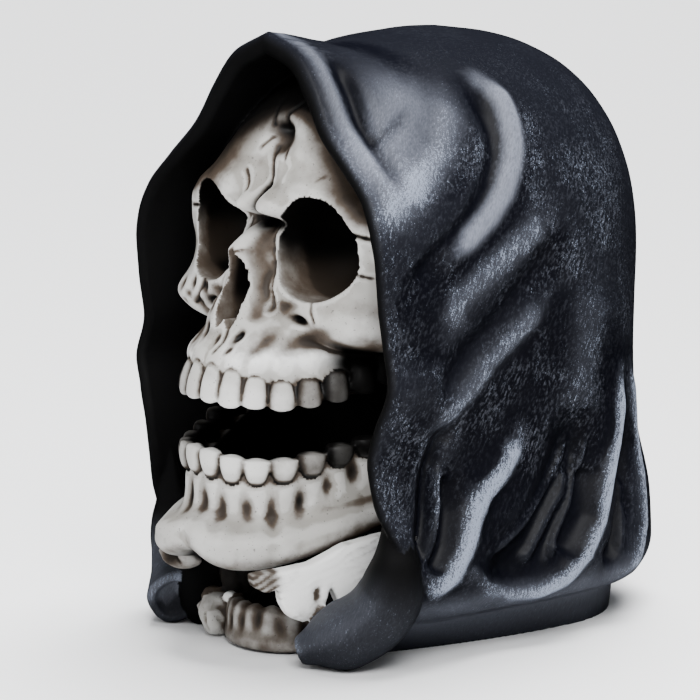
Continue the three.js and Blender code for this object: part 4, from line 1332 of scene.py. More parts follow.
@dataclass(frozen=True)
class LowerJaw:
    """The lower jaw: one closed section carried round the arch, its chin forward and its arms running back.

    Attributes hold the driving sizes in mm. A pit is its length along the arch, its height, its half height
    and how black it is. The spacing is the even and the widening share of the rows along the arch.
    """

    foot: Stations = (
        (0, 23.6), (2.5, 22.8), (6, 21.2), (10, 20.6), (14, 20.8), (21, 22.2), (29, 24.4), (38, 27.2),
        (47, 30.4), (60, 37), (72, 42),
    )
    crest: Stations = (
        (0, 42), (8, 41.3), (17, 41.6), (23, 42.7), (30, 44.5), (36, 46.6), (42, 48.6), (50, 53), (60, 58),
        (72, 62),
    )
    chin: Stations = ((0, 5.2), (8, 5.3), (16, 4.7), (30, 3.6), (45, 2.4), (72, 1))
    thickness: float = 6.5
    gum_rise: float = 1.9
    spacing: Pair = (0.55, 0.45)
    pits: tuple[tuple[float, float, float, float], ...] = (
        (-30, 39, 3, 0.4), (-23.3, 36.4, 3.2, 0.3), (-17, 35, 3, 0.2), (-11, 34.9, 3, 0.3),
        (-5, 35, 4.2, 0.8), (0.6, 34.8, 3.6, 0.2), (6, 33.4, 3.8, 0.05), (11.9, 34.4, 2.6, 0),
        (17.7, 33.4, 4.6, 0.1), (24, 36.2, 3.4, 0.75), (30.6, 39.6, 2.8, 0.25), (36.5, 42.4, 2.6, 0.6),
        (43, 45, 2.4, 0.8),
    )
    pit_half_width: float = 1.75
    pit_depth: float = 1.15
    grid: tuple[int, int] = (620, 170)

    def build(self) -> Shell:
        """Carries the section round, with scalloped gums, pits between the roots and two lobes to the chin.

        Returns:
            Shell: the closed jaw.
        """
        t, turn = ring_grid(-1, 1, self.grid)
        even, widening = self.spacing
        length = Arch.LENGTH * np.sign(t) * (even * np.abs(t) + widening * np.abs(t) ** 2)
        run = np.abs(length)
        gap = LOWER_ARCH.gap_share(length) * (1 - ramp(run, *Arch.ROW_END))
        outer = ramp(np.sin(turn), 0.0, 0.5)
        foot = Curve(self.foot)(run) - 1.3 * bump(length + 11, 5)
        crest = Curve(self.crest)(run) + self.gum_rise * gap**2.2 * outer
        up = signed_power(np.cos(turn), 0.7)
        out = signed_power(np.sin(turn), 0.6)
        z = mix(foot, crest, (up + 1) / 2)
        low = 1 - ramp(z - (foot - 20.8) * 0.6 + 1.0 * (1 - ramp(length, -3, 6)), 28.0, 32.6)
        outward = mix(-self.thickness, Curve(self.chin)(run) * low, (out + 1) / 2)
        wash, soot = np.zeros_like(z), np.zeros_like(z)
        chin_lobes = 1.3 * bump(run - 7.5, 5.0) * bump(z - 28.0, 4.5)
        chin_cleft = 0.7 * bump(run, 2.2) * bump(z - 26.5, 3.0)
        rise = chin_lobes - chin_cleft + 2.0 * bump(length + 13, 6) * bump(z - 22.0, 3.4)
        for where, height, tall, black in self.pits:
            across = bump(length - where, self.pit_half_width)
            pit = across * bump(z - height, tall)
            rise = rise - self.pit_depth * pit
            wash += 0.46 * across * bump(z - height, 1.1 * tall) * (1 + 0.4 * (z - height) / tall)
            soot += 0.85 * black * pit**2
        roots = (1 - gap**2) * bump(z - (crest - 3.0), 3.0)
        rise = rise + 0.35 * roots
        line = crest - z
        # brown below the gum crest, and brown on the underside as painted shade
        wash += 0.55 * bump(line - 0.2, 0.7) + 0.45 * ramp(-up, 0.55, 0.95)
        soot += 0.95 * bump(line + 0.3, 0.8)
        outward = outward + outer * rise
        x, y = LOWER_ARCH.place(length, outward)
        points = leaned(x, y, z)
        behind = 1 - ramp(np.sin(turn), -0.25, 0.1)
        hidden = ramp(run, 42, 50)
        # painted shade: black on the jaw's underside
        shade_below = ramp(-up, 0.8, 1.0)
        gleam = 0.55 * bump(line - 1.6, 1.0) * gap * outer
        rear = ramp(run, 16, 40) * (1 - ramp(z - foot, 0.0, 13.0))
        paint = paint_layer(z.shape, bone=1.0, wash=wash * outer + 0.4 * behind + 0.45 * rear,
                            soot=soot * outer + behind + hidden + 0.5 * shade_below + 0.12 * rear, white=gleam)
        return Shell.woven(points, paint)


@dataclass(frozen=True)
class HemRoll:
    """A rolled front corner of the cloth's hem: a rounded band carried along a path, with a blunt end.

    Attributes:
        side: 1 for the figure's left, -1 for its right.
        radius: half its thickness.
        thinning: share of it where the roll starts in the cloth.
        taper: share of it at the blunt end.
        path: its middle line, for the figure's left.
        grid: rows and columns of points.
    """

    side: int
    radius: float = 6.6
    thinning: float = 0.2
    taper: float = 1.0
    path: tuple[Triple, ...] = (
        (38.2, -37, 43), (38.6, -35.5, 32), (39.2, -33.8, 24), (38.3, -33.5, 16.5), (35, -36, 10.3),
        (30.5, -40.5, 7.2), (25.5, -45.2, 6.4),
    )
    grid: tuple[int, int] = (150, 90)

    def build(self) -> Shell:
        """Carries the section along the path, turning with it.

        Returns:
            Shell: the closed roll.
        """
        corners = np.array(self.path, float)
        knots = np.linspace(0, 1, len(corners))
        share = np.linspace(0, 1, self.grid[0])
        line = np.stack([Curve(list(zip(knots, corners[:, i])))(share) for i in range(3)], -1)
        ahead = np.gradient(line, axis=0)
        ahead /= np.linalg.norm(ahead, axis=1, keepdims=True)
        outside = np.cross(ahead, np.array([-0.55, -0.8, 0.25]))
        outside /= np.linalg.norm(outside, axis=1, keepdims=True)
        facing = np.cross(outside, ahead)
        turn = np.linspace(0, 2 * np.pi, self.grid[1], endpoint=False)
        size = self.radius * mix(self.thinning, 1.0, ramp(share, 0, 0.5))
        size = size * mix(1.0, self.taper, ramp(share, 0.72, 1.0))
        rounding = np.sqrt(np.clip(1 - np.clip((share - 0.955) / 0.045, 0, 1) ** 2.2 * 0.3, 0, 1))
        size = (size * rounding)[:, None]
        wide = size * signed_power(np.cos(turn), 0.8)[None, :]
        flat = 0.9 * size * signed_power(np.sin(turn), 0.8)[None, :]
        points = line[:, None, :] + wide[..., None] * outside[:, None, :]
        points = points + flat[..., None] * facing[:, None, :]
        ends = [line[-1] + (points[-1] - line[-1]) * part - sunk * ahead[-1]
                for part, sunk in ((0.84, 0.0), (0.74, 1.2), (0.3, 1.2))]
        middle = np.broadcast_to(line[-1] - 1.2 * ahead[-1], points[:1].shape)
        start = np.broadcast_to(line[0], points[:1].shape)
        points = np.concatenate([start, points, *(end[None] for end in ends), middle])
        points[..., 0] *= self.side
        points[..., 2] = np.maximum(points[..., 2], 0.0)
        top = np.broadcast_to(ramp(np.sin(turn), 0.1, 0.7)[None, :], points.shape[:2])
        passed = np.linspace(0, 1, len(points))[:, None]
        streak = bump(np.arctan2(np.sin(turn), np.cos(turn)) - 0.9, 0.22)[None, :] * ramp(passed, 0.3, 0.6)
        edge_line = ramp(passed, 0.93, 0.97) * top
        hidden = 1 - ramp(passed, 0.3, 0.55) * np.ones_like(top)
        brush = 0.05 + 0.08 * top + 0.4 * streak + 0.3 * edge_line
        film = 0.1 + 0.16 * top + 0.25 * streak + 0.3 * edge_line
        paint = paint_layer(top.shape, brush=brush, film=film, speckle=0.16, inner=mix(0.3, 1.0, hidden))
        return Shell.woven(points, paint)


NEAR_HEM = (
    (38.2, -37, 43), (38.6, -35.5, 33), (38.6, -34.8, 25.5), (37.3, -34.8, 18.2), (34.2, -37, 11.8),
    (30, -41, 8), (25.5, -45.2, 5.6), (21.8, -48.6, 3.6),
)


@dataclass(frozen=True)
class Bone:
    """A small rounded bone: a ball pushed out and in by waves.

    Sizes are in mm. The waves are a share of them, tilt is degrees about the upright, and hollow is the depth
    of a dimple in the front. Squareness is 1 for a ball and less for a rounded block. The rest is its paint,
    with inner for the black of the cloth's lining, which also paints shadow.
    """

    middle: Triple
    half_size: Triple
    waves: float = 0.0
    tilt: float = 0.0
    hollow: float = 0.0
    squareness: float = 1.0
    bone: float = 1.0
    wash: float = 0.2
    soot: float = 0.0
    white: float = 0.0
    inner: float = 0.0
    grid: tuple[int, int] = (60, 90)

    def build(self) -> Shell:
        """Pushes the ball.

        Returns:
            Shell: the closed bone.
        """
        v, turn = ring_grid(-np.pi / 2, np.pi / 2, self.grid)
        lobes = np.cos(3 * turn + 2 * v) + 0.35 * np.sin(7 * turn + 5 * v) + 0.3 * np.sin(4 * turn - 6 * v)
        swell = 1 + self.waves * lobes * np.cos(v) ** 2
        level = signed_power(np.cos(v), self.squareness)
        x = self.half_size[0] * swell * signed_power(np.cos(turn), self.squareness) * level
        y = self.half_size[1] * swell * signed_power(np.sin(turn), self.squareness) * level
        z = self.half_size[2] * signed_power(np.sin(v), self.squareness)
        front = ramp(-np.sin(turn), 0.2, 0.9) * np.cos(v) ** 2
        dimple = front * bump(x / self.half_size[0], 0.5) * bump(z / self.half_size[2], 0.6)
        y = y + self.hollow * dimple
        x, y = turned(x, y, self.tilt)
        points = np.stack([self.middle[0] + x, self.middle[1] + y, np.maximum(self.middle[2] + z, 0)], -1)
        stain = dimple if self.hollow else 0.0
        wash, soot = self.wash + 0.8 * stain, self.soot + 0.4 * stain
        paint = paint_layer(
            v.shape, bone=self.bone, wash=wash, soot=soot, white=self.white, inner=self.inner)
        return Shell.woven(points, paint)


@dataclass(frozen=True)
class SmallJaw:
    """The small jaw that lies at the front of the neck: a bent bar with the sockets of its roots.

    Attributes hold the driving sizes in mm.
    """

    x: float = 2.2
    y: float = -33.0
    radius: float = 12.6
    half_height: float = 5.0
    half_thickness: float = 2.6
    sweep: float = 72.0
    ridges: float = 9.5
    grid: tuple[int, int] = (200, 80)

    def build(self) -> Shell:
        """Bends the bar and carves the root sockets into its outside.

        Returns:
            Shell: the closed bar.
        """
        t, turn = ring_grid(-1, 1, self.grid)
        closing = np.sqrt(np.clip(1 - np.abs(t) ** 8, 0, 1))
        heading = np.radians(self.sweep) * t
        out = signed_power(np.cos(turn), 0.7) * closing
        up = signed_power(np.sin(turn), 0.7) * closing
        outer = ramp(out, 0.2, 0.9)
        wave = 0.5 + 0.5 * np.cos(self.ridges * heading * 2 + 0.9 * np.sin(3.1 * heading + 1))
        socket = wave**1.5 * bump(up - 0.35 - 0.2 * np.sin(5 * heading), 0.45)
        socket = socket * (0.75 + 0.25 * np.sin(7 * heading))
        edge = 1 - wave
        radius = self.radius + self.half_thickness * out - 0.9 * outer * socket
        radius = radius + 0.9 * outer * (1 - ramp(up, -0.9, -0.1))
        z = self.half_height * (1 + up) + 0.7 * edge * ramp(up, 0.7, 1.0)
        points = np.stack([
            self.x + radius * np.sin(heading), self.y - radius * np.cos(heading), np.maximum(z, 0)], -1)
        top = ramp(up, 0.75, 0.95)
        wash = 0.6 - 0.24 * edge * ramp(up, -0.4, 0.3) + 0.5 * socket * outer + 0.2 * top
        soot = 0.12 + 0.2 * socket * outer + 0.3 * top + 0.9 * (1 - outer) * (1 - top)
        return Shell.woven(points, paint_layer(t.shape, bone=1.0, wash=wash, soot=soot))


@dataclass(frozen=True)
class Splinter:
    """The white splinter of bone between the jaw and the hem: a plate with a torn notch in its lower edge.

    Attributes hold the driving sizes in mm; the edge is [along, height] from a place under the jaw.
    """

    x: float = 23.0
    y: float = -42.0
    heading: float = 70.0
    thickness: float = 4.5
    middle: Pair = (2.0, 21.3)
    edge: Path = (
        (-16.8, 21.2), (-13.4, 21.6), (-9.3, 21.8), (-2.6, 22.6), (5.3, 26.1), (15, 27.8), (27, 27.2),
        (40, 26.5), (40, 18), (27, 19), (16, 20.6), (13.1, 18.8), (9.2, 14.8), (6.2, 13.2), (4, 12.4),
        (2, 17.4), (0.3, 12.2), (-1.5, 10.4), (-4.6, 9.5), (-8, 11), (-9.9, 14.2), (-10.4, 17.6), (-13.6, 17),
        (-16.4, 18.6),
    )
    grid: tuple[int, int] = (46, 360)

    def build(self) -> Shell:
        """Shrinks the edge to the middle on both faces and rounds it between them.

        Returns:
            Shell: the closed plate.
        """
        corners = np.array([*self.edge, self.edge[0]], float)
        run = np.concatenate([[0.0], np.cumsum(np.hypot(*np.diff(corners, axis=0).T))])
        places = np.linspace(0, run[-1], self.grid[1], endpoint=False)
        rim = np.stack([np.interp(places, run, corners[:, i]) for i in range(2)], -1)
        for _ in range(2):
            rim = (np.roll(rim, 1, 0) + 2 * rim + np.roll(rim, -1, 0)) / 4
        v = np.linspace(0, 1, self.grid[0])
        inward = 1 - np.abs(2 * v - 1) ** 6
        size = np.clip(np.sin(np.pi * v) * 1.25, 0, 1) ** 0.8 * (0.86 + 0.14 * inward)
        level = -np.cos(np.pi * np.clip((v - 0.12) / 0.76, 0, 1))
        along = self.middle[0] + (rim[:, 0] - self.middle[0])[None] * size[:, None]
        height = self.middle[1] + (rim[:, 1] - self.middle[1])[None] * size[:, None]
        lines = np.sin(3.6 * (height - 0.45 * along) + 1.2 * np.sin(0.7 * along))
        waves = 0.13 * lines * np.abs(level)[:, None]
        dimple = bump(along + 1.5, 1.1) * bump(height - 15.8, 2.1)
        out = self.thickness / 2 * (1 - level)[:, None] + waves * np.sign(-level)[:, None]
        out = out + 0.8 * dimple * (level[:, None] > 0)
        x, y = turned(along, out, self.heading)
        points = np.stack([self.x + x, self.y + y, np.broadcast_to(height, out.shape)], -1)
        foot = bump(along - 1.6, 0.9) * (1 - ramp(height, 15, 18))
        tip = 1 - ramp(along, -12.8, -8.6)
        grain = 0.3 * ramp(lines, 0.1, 1.0) * (0.4 + 0.6 * ramp(along, -2, 12))
        grain = grain + 0.35 * bump(height - 10.5, 2.2) * (along < 0)
        wash = 0.5 * foot + (0.5 + 0.3 * lines) * tip + 0.5 * dimple + grain
        soot = (0.3 - 0.15 * lines) * tip + 0.6 * ramp(along, 17, 24)
        paint = paint_layer(out.shape, bone=1.0, white=1.0 - tip - 0.5 * grain, wash=wash, soot=soot)
        return Shell.woven(points, paint)


BLACK_LINING_AND_SHADOW = {"bone": 0.0, "soot": 0.8, "inner": 1.0, "wash": 0.0}
BONES = (
    # the black of the neck, the bone beside the jaw, the lump and its chips, and black behind the lump that
    # paints its shadow
    Bone((-2, -18, 0), (28, 16, 21), **BLACK_LINING_AND_SHADOW),
    Bone((-22.9, -45.2, 17.4), (6.4, 4.2, 3.1), waves=0.14, tilt=-12, hollow=2.0, wash=0.45, soot=0.1),
    Bone((-12.4, -43.2, 4.9), (4.0, 3.6, 5.0), waves=0.17, squareness=0.8, tilt=40, wash=0.32),
    Bone((-10.9, -45.4, 3.6), (2.2, 2.0, 3.0), waves=0.2, squareness=0.85, tilt=70, wash=0.12),
    Bone((-14.6, -44.8, 6.4), (1.9, 1.7, 1.7), waves=0.2, tilt=10, wash=0.5, soot=0.15),
    Bone((-14.6, -42.6, 8.4), (2.4, 2.2, 2.6), waves=0.25, squareness=0.8, tilt=40, wash=0.8, soot=0.3),
    Bone((-10.8, -38.6, 13.0), (3.6, 2.2, 6.2), waves=0.2, squareness=0.8, tilt=25, wash=0.9, soot=0.72),
    Bone((-8.2, -42.6, 9.6), (1.5, 1.4, 1.3), waves=0.2, squareness=0.8, wash=0.05, white=0.7),
    # painted shadow: two black blocks behind the lump
    Bone((-23, -32, 5), (9, 8, 14), **BLACK_LINING_AND_SHADOW),
    Bone((-23, -36.5, 9), (6.5, 8, 11), **BLACK_LINING_AND_SHADOW),
)


@dataclass(frozen=True)
class Casting:
    """The whole figurine as one fused mesh.

    Attributes:
        voxel: size of the cells it is fused with, in mm.
        target: the most triangles it may keep.
        care: how strongly the face is kept from being thinned.
        face_front: depth ahead of which the bone is kept fine.
        lip_clearance: how far inside the opening's edge that holds.
        mouth: lowest and highest place of the open mouth, and the depth behind which it isn't kept fine.
        face_lean: how far the skull's middle shifts with the height, as a share.
    """

    voxel: float = 0.42
    target: int = 196000
    care: float = 0.02
    face_front: float = -33.5
    lip_clearance: float = 3.4
    mouth: Triple = (47.0, 60.0, -46.0)
    face_lean: float = 0.063

    def shells(self) -> tuple[list[Shell], list[Shell]]:
        """Every closed surface of the figurine.

        Returns:
            tuple: the shells that are added, the skull last, and the skull's cutters.
        """
        hollows = Hollows()
        added = [
            Cowl().build(), HemRoll(1, radius=8.0, taper=0.43, path=NEAR_HEM).build(), HemRoll(-1).build(),
            LowerJaw().build(), *UPPER_TEETH.build(), *LOWER_TEETH.build(),
            SmallJaw().build(), Splinter().build(), *(bone.build() for bone in BONES), Skull().head(),
        ]
        return added, [hollows.orbit(1), hollows.orbit(-1), hollows.nose()]

    @staticmethod
    def carve(head: Shell, cutters: Sequence[Shell]) -> tuple[Array, Array]:
        """Cuts the sockets out of the skull.

        Args:
            head: the skull's closed skin.
            cutters: the closed cutters.

        Returns:
            tuple: points and triangles of the cut skull.
        """
        body = head.to_object("head")
        tools = [cutter.to_object(f"cutter_{i}") for i, cutter in enumerate(cutters)]
        for tool in tools:
            cut = body.modifiers.new(tool.name, "BOOLEAN")
            cut.operation, cut.solver, cut.object = "DIFFERENCE", "MANIFOLD", tool
        points, triangles = evaluated(body)
        for obj in (body, *tools):
            discard(obj)
        LOG.info("skull cut: %d triangles", len(triangles))
        return points, triangles

    def fuse(self, shell: Shell) -> tuple[Array, Array]:
        """Fuses overlapping shells into one skin, smooths it a little and thins it where it is plain.

        Args:
            shell: all the shells together.

        Returns:
            tuple: points and triangles.
        """
        rough = shell.to_object("rough")
        remesh = rough.modifiers.new("fuse", "REMESH")
        remesh.mode, remesh.voxel_size = "VOXEL", self.voxel
        smooth = rough.modifiers.new("smooth", "SMOOTH")
        smooth.factor, smooth.iterations = 0.5, 1
        points, triangles = evaluated(rough)
        discard(rough)
        LOG.info("fused: %d triangles", len(triangles))
        skin = Shell(points, triangles, np.zeros((len(points), len(Paint)))).to_object("skin")
        fine = self.shown_bone(points, read_rows(skin.data.vertices, "normal", 3))
        group = skin.vertex_groups.new(name="plain")
        group.add(np.flatnonzero(~fine).tolist(), 1.0, "REPLACE")
        group.add(np.flatnonzero(fine).tolist(), 0.5, "REPLACE")
        thin = skin.modifiers.new("thin", "DECIMATE")
        thin.ratio = min(1.0, self.target / len(triangles))
        thin.vertex_group, thin.vertex_group_factor = "plain", self.care
        LOG.info("fine part: %d of %d points", int(fine.sum()), len(points))
        points, triangles = evaluated(skin)
        discard(skin)
        LOG.info("thinned: %d triangles", len(triangles))
        return points, triangles

    def shown_bone(self, points: Array, normals: Array) -> Array:
        """Which points lie on the part of the bones that can be seen well.

        Args:
            points: points by 3.
            normals: normals by 3.

        Returns:
            Array: True where the mesh is kept fine.
        """
        x, y, z = points.T
        across = np.abs(x + self.face_lean * (z - LEAN_PIVOT[1]) * (z < 70))
        inside = across < Curve(Cowl.rim_half_width)(z) - self.lip_clearance
        bottom, top, front = self.mouth
        mouth = (z > bottom) & (z < top) & (y > front)
        return inside & (y < self.face_front) & (normals[:, 1] < 0.3) & ~mouth

    @staticmethod
    def hollowness(mesh: bpy.types.Mesh, rounds: int) -> Array:
        """How hollow the skin is at each point: how far smoothing lifts it along its normal, in mm.

        Args:
            mesh: the skin, in mm.
            rounds: rounds of smoothing, more for broader forms.

        Returns:
            Array: positive in hollows, negative on ridges.
        """
        count = len(mesh.vertices)
        points, normals = (read_rows(mesh.vertices, name, 3) for name in ("co", "normal"))
        edges = read_rows(mesh.edges, "vertices", 2, np.int32)
        ends = np.concatenate([edges[:, 0], edges[:, 1]])
        others = np.concatenate([edges[:, 1], edges[:, 0]])
        valence = np.bincount(ends, minlength=count).clip(1)
        smooth = points.astype(float)
        for _ in range(rounds):
            sums = [np.bincount(ends, weights=smooth[others, i], minlength=count) for i in range(3)]
            smooth = np.stack(sums, -1) / valence[:, None]
        return np.einsum("ij,ij->i", smooth - points, normals)

    def build(self, finish: bpy.types.Material) -> bpy.types.Object:
        """Makes the figurine's one piece.

        Args:
            finish: its paint.

        Returns:
            bpy.types.Object: the piece, in metres in the row's frame.
        """
        added, cutters = self.shells()
        points, triangles = self.carve(added[-1], cutters)
        bare = np.zeros((len(points), len(Paint)))
        solid = Shell.gathered([*added[:-1], Shell(points, triangles, bare)])
        points, triangles = self.fuse(solid)
        points[:, 2] = np.maximum(points[:, 2], 0.0)
        bare = np.zeros((len(points), len(Paint)))
        piece = Shell(points, triangles, bare).to_object("figurine", painted=True)
        source = Shell.gathered([*added, *cutters]).to_object("paint_source", painted=True)
        transfer = piece.modifiers.new("paint", "DATA_TRANSFER")
        transfer.object = source
        transfer.use_vert_data, transfer.data_types_verts = True, {"COLOR_VERTEX"}
        transfer.vert_mapping = "POLYINTERP_NEAREST"
        shown = piece.evaluated_get(bpy.context.evaluated_depsgraph_get())
        mesh = bpy.data.meshes.new_from_object(shown)
        old = piece.data
        piece.modifiers.clear()
        piece.data = mesh
        bpy.data.meshes.remove(old)
        discard(source)
        for name, rounds in HOLLOW_ROUNDS.items():
            attribute = mesh.attributes.new(name, "FLOAT", "POINT")
            attribute.data.foreach_set("value", self.hollowness(mesh, rounds).astype(np.float32))
        places = (read_rows(mesh.vertices, "co", 3) - np.array([*BOX_CENTRE, 0.0])) * MILLIMETRE
        mesh.vertices.foreach_set("co", places.astype(np.float32).ravel())
        mesh.materials.clear()
        mesh.materials.append(finish)
        mesh.shade_smooth()
        mesh.update()
        LOG.info("figurine: %d triangles", len(mesh.polygons))
        return piece


Operand = Union["Value", float]


class Value:
    """A number socket of a shader, with the usual arithmetic."""

    def __init__(self, tree: "Graph", socket: bpy.types.NodeSocket) -> None:
        """Wraps a socket.

        Args:
            tree: the graph it belongs to.
            socket: an output socket.
        """
        self.tree, self.socket = tree, socket

    def _math(self, operation: str, *others: Operand, swapped: bool = False) -> "Value":
        """Joins the value to others by a maths node, with the value last if swapped."""
        operands = (*others, self) if swapped else (self, *others)
        return self.tree.math(operation, *operands)

    def __add__(self, other: Operand) -> "Value":
        """The sum."""
        return self._math("ADD", other)

    __radd__ = __add__

    def __sub__(self, other: Operand) -> "Value":
        """The value less the other."""
        return self._math("SUBTRACT", other)

    def __rsub__(self, other: Operand) -> "Value":
        """The other less the value."""
        return self._math("SUBTRACT", other, swapped=True)

    def __mul__(self, other: Operand) -> "Value":
        """The product."""
        return self._math("MULTIPLY", other)

    __rmul__ = __mul__

    def __neg__(self) -> "Value":
        """The value with its sign changed."""
        return self._math("MULTIPLY", -1.0)

    def least(self, other: Operand) -> "Value":
        """The smaller of two."""
        return self._math("MINIMUM", other)

    def most(self, other: Operand) -> "Value":
        """The larger of two."""
        return self._math("MAXIMUM", other)

    def clamped(self) -> "Value":
        """The value held between 0 and 1."""
        return self.most(0.0).least(1.0)

    def ramp(self, low: float, high: float) -> "Value":
        """A smooth step from 0 at low to 1 at high."""
        node = self.tree.node("ShaderNodeMapRange", {"interpolation_type": "SMOOTHSTEP"},
                              {"Value": self, "From Min": low, "From Max": high})
        return Value(self.tree, node.outputs["Result"])


class Graph:
    """A material's node graph."""

    def __init__(self, name: str) -> None:
        """Makes an empty material.

        Args:
            name: its name.
        """
        self.material = bpy.data.materials.new(name)
        self.material.use_nodes = True
        self.tree = self.material.node_tree
        self.tree.nodes.clear()

    def node(self, kind: str, settings: Optional[dict[str, Any]] = None,
             sockets: Optional[dict[Union[str, int], Any]] = None) -> bpy.types.Node:
        """Adds a node.

        Args:
            kind: its type.
            settings: its properties.
            sockets: its inputs, as values or as sockets to link.

        Returns:
            bpy.types.Node: the node.
        """
        made = self.tree.nodes.new(kind)
        for key, value in (settings or {}).items():
            setattr(made, key, value)
        for key, value in (sockets or {}).items():
            source = value.socket if isinstance(value, Value) else value
            if isinstance(source, bpy.types.NodeSocket):
                self.tree.links.new(source, made.inputs[key])
            else:
                made.inputs[key].default_value = source
        return made

    def math(self, operation: str, *operands: Operand) -> Value:
        """Adds a maths node for its inputs in order."""
        made = self.node("ShaderNodeMath", {"operation": operation}, dict(enumerate(operands)))
        return Value(self, made.outputs[0])

    def attribute(self, name: str) -> bpy.types.Node:
        """Adds a node that reads an attribute of the mesh, with Fac, Color and Vector."""
        return self.node("ShaderNodeAttribute", {"attribute_name": name})

    def channels(self, name: str) -> tuple[Value, ...]:
        """Reads the four channels of a colour layer.

        Args:
            name: the layer.

        Returns:
            tuple: its red, green, blue and alpha.
        """
        layer = self.attribute(name).outputs
        split = self.node("ShaderNodeSeparateColor", sockets={"Color": layer["Color"]})
        return tuple(Value(self, socket) for socket in (*split.outputs, layer["Alpha"]))

    def blend(self, share: Operand, low: Any, high: Any) -> bpy.types.NodeSocket:
        """Blends two colours or sockets: low at share 0 and high at share 1."""
        settings = {"data_type": "RGBA", "clamp_factor": True}
        return self.node("ShaderNodeMix", settings, {0: share, 6: low, 7: high}).outputs[2]

    def noise(self, vector: Any, scale: float, detail: float = 2.0, roughness: float = 0.55) -> Value:
        """Adds a noise about one half, of a number of cells to the metre and of octaves."""
        made = self.node("ShaderNodeTexNoise", {"noise_dimensions": "3D"}, {
            "Vector": vector, "Scale": scale, "Detail": detail, "Roughness": roughness})
        return Value(self, made.outputs[0])

    def stretched(self, vector: Any, turn: Triple, scale: Triple) -> Any:
        """Turns and stretches the place a texture is read from, so that its marks run one way.

        Args:
            vector: the place.
            turn: degrees about X, Y and Z.
            scale: stretch of the turned axes; small for long marks.

        Returns:
            bpy.types.NodeSocket: the new place.
        """
        swung = self.node("ShaderNodeVectorRotate", {"rotation_type": "EULER_XYZ"}, {
            "Vector": vector, "Rotation": tuple(math.radians(a) for a in turn)})
        sockets = {0: swung.outputs[0], 1: scale}
        return self.node("ShaderNodeVectorMath", {"operation": "MULTIPLY"}, sockets).outputs[0]


def colour(red: int, green: int, blue: int) -> Colour:
    """A colour as the shader wants it.

    Args:
        red: red as seen on screen, from 0 to 255.
        green: green.
        blue: blue.

    Returns:
        tuple: linear red, green, blue and 1.
    """
    shown = np.array([red, green, blue]) / 255.0
    linear = np.where(shown <= 0.04045, shown / 12.92, ((shown + 0.055) / 1.055) ** 2.4)
    return (*linear.tolist(), 1.0)


@dataclass(frozen=True)
class ClothPaint:
    """Satin black with a grey film, which also paints the table's reflection on the foot, and silver-grey dry
    brushing.
    """

    black: Colour = colour(9, 10, 17)
    film: Colour = colour(114, 118, 130)
    silver: Colour = colour(138, 147, 165)
    lining: Colour = colour(7, 7, 8)


@dataclass(frozen=True)
class BonePaint:
    """Bone with a brown wash in its hollows and an airbrushed black."""

    bone: Colour = colour(152, 149, 143)
    pale: Colour = colour(246, 246, 244)
    brown: Colour = colour(80, 69, 59)
    umber: Colour = colour(36, 30, 25)
    soot: Colour = colour(6, 5, 5)


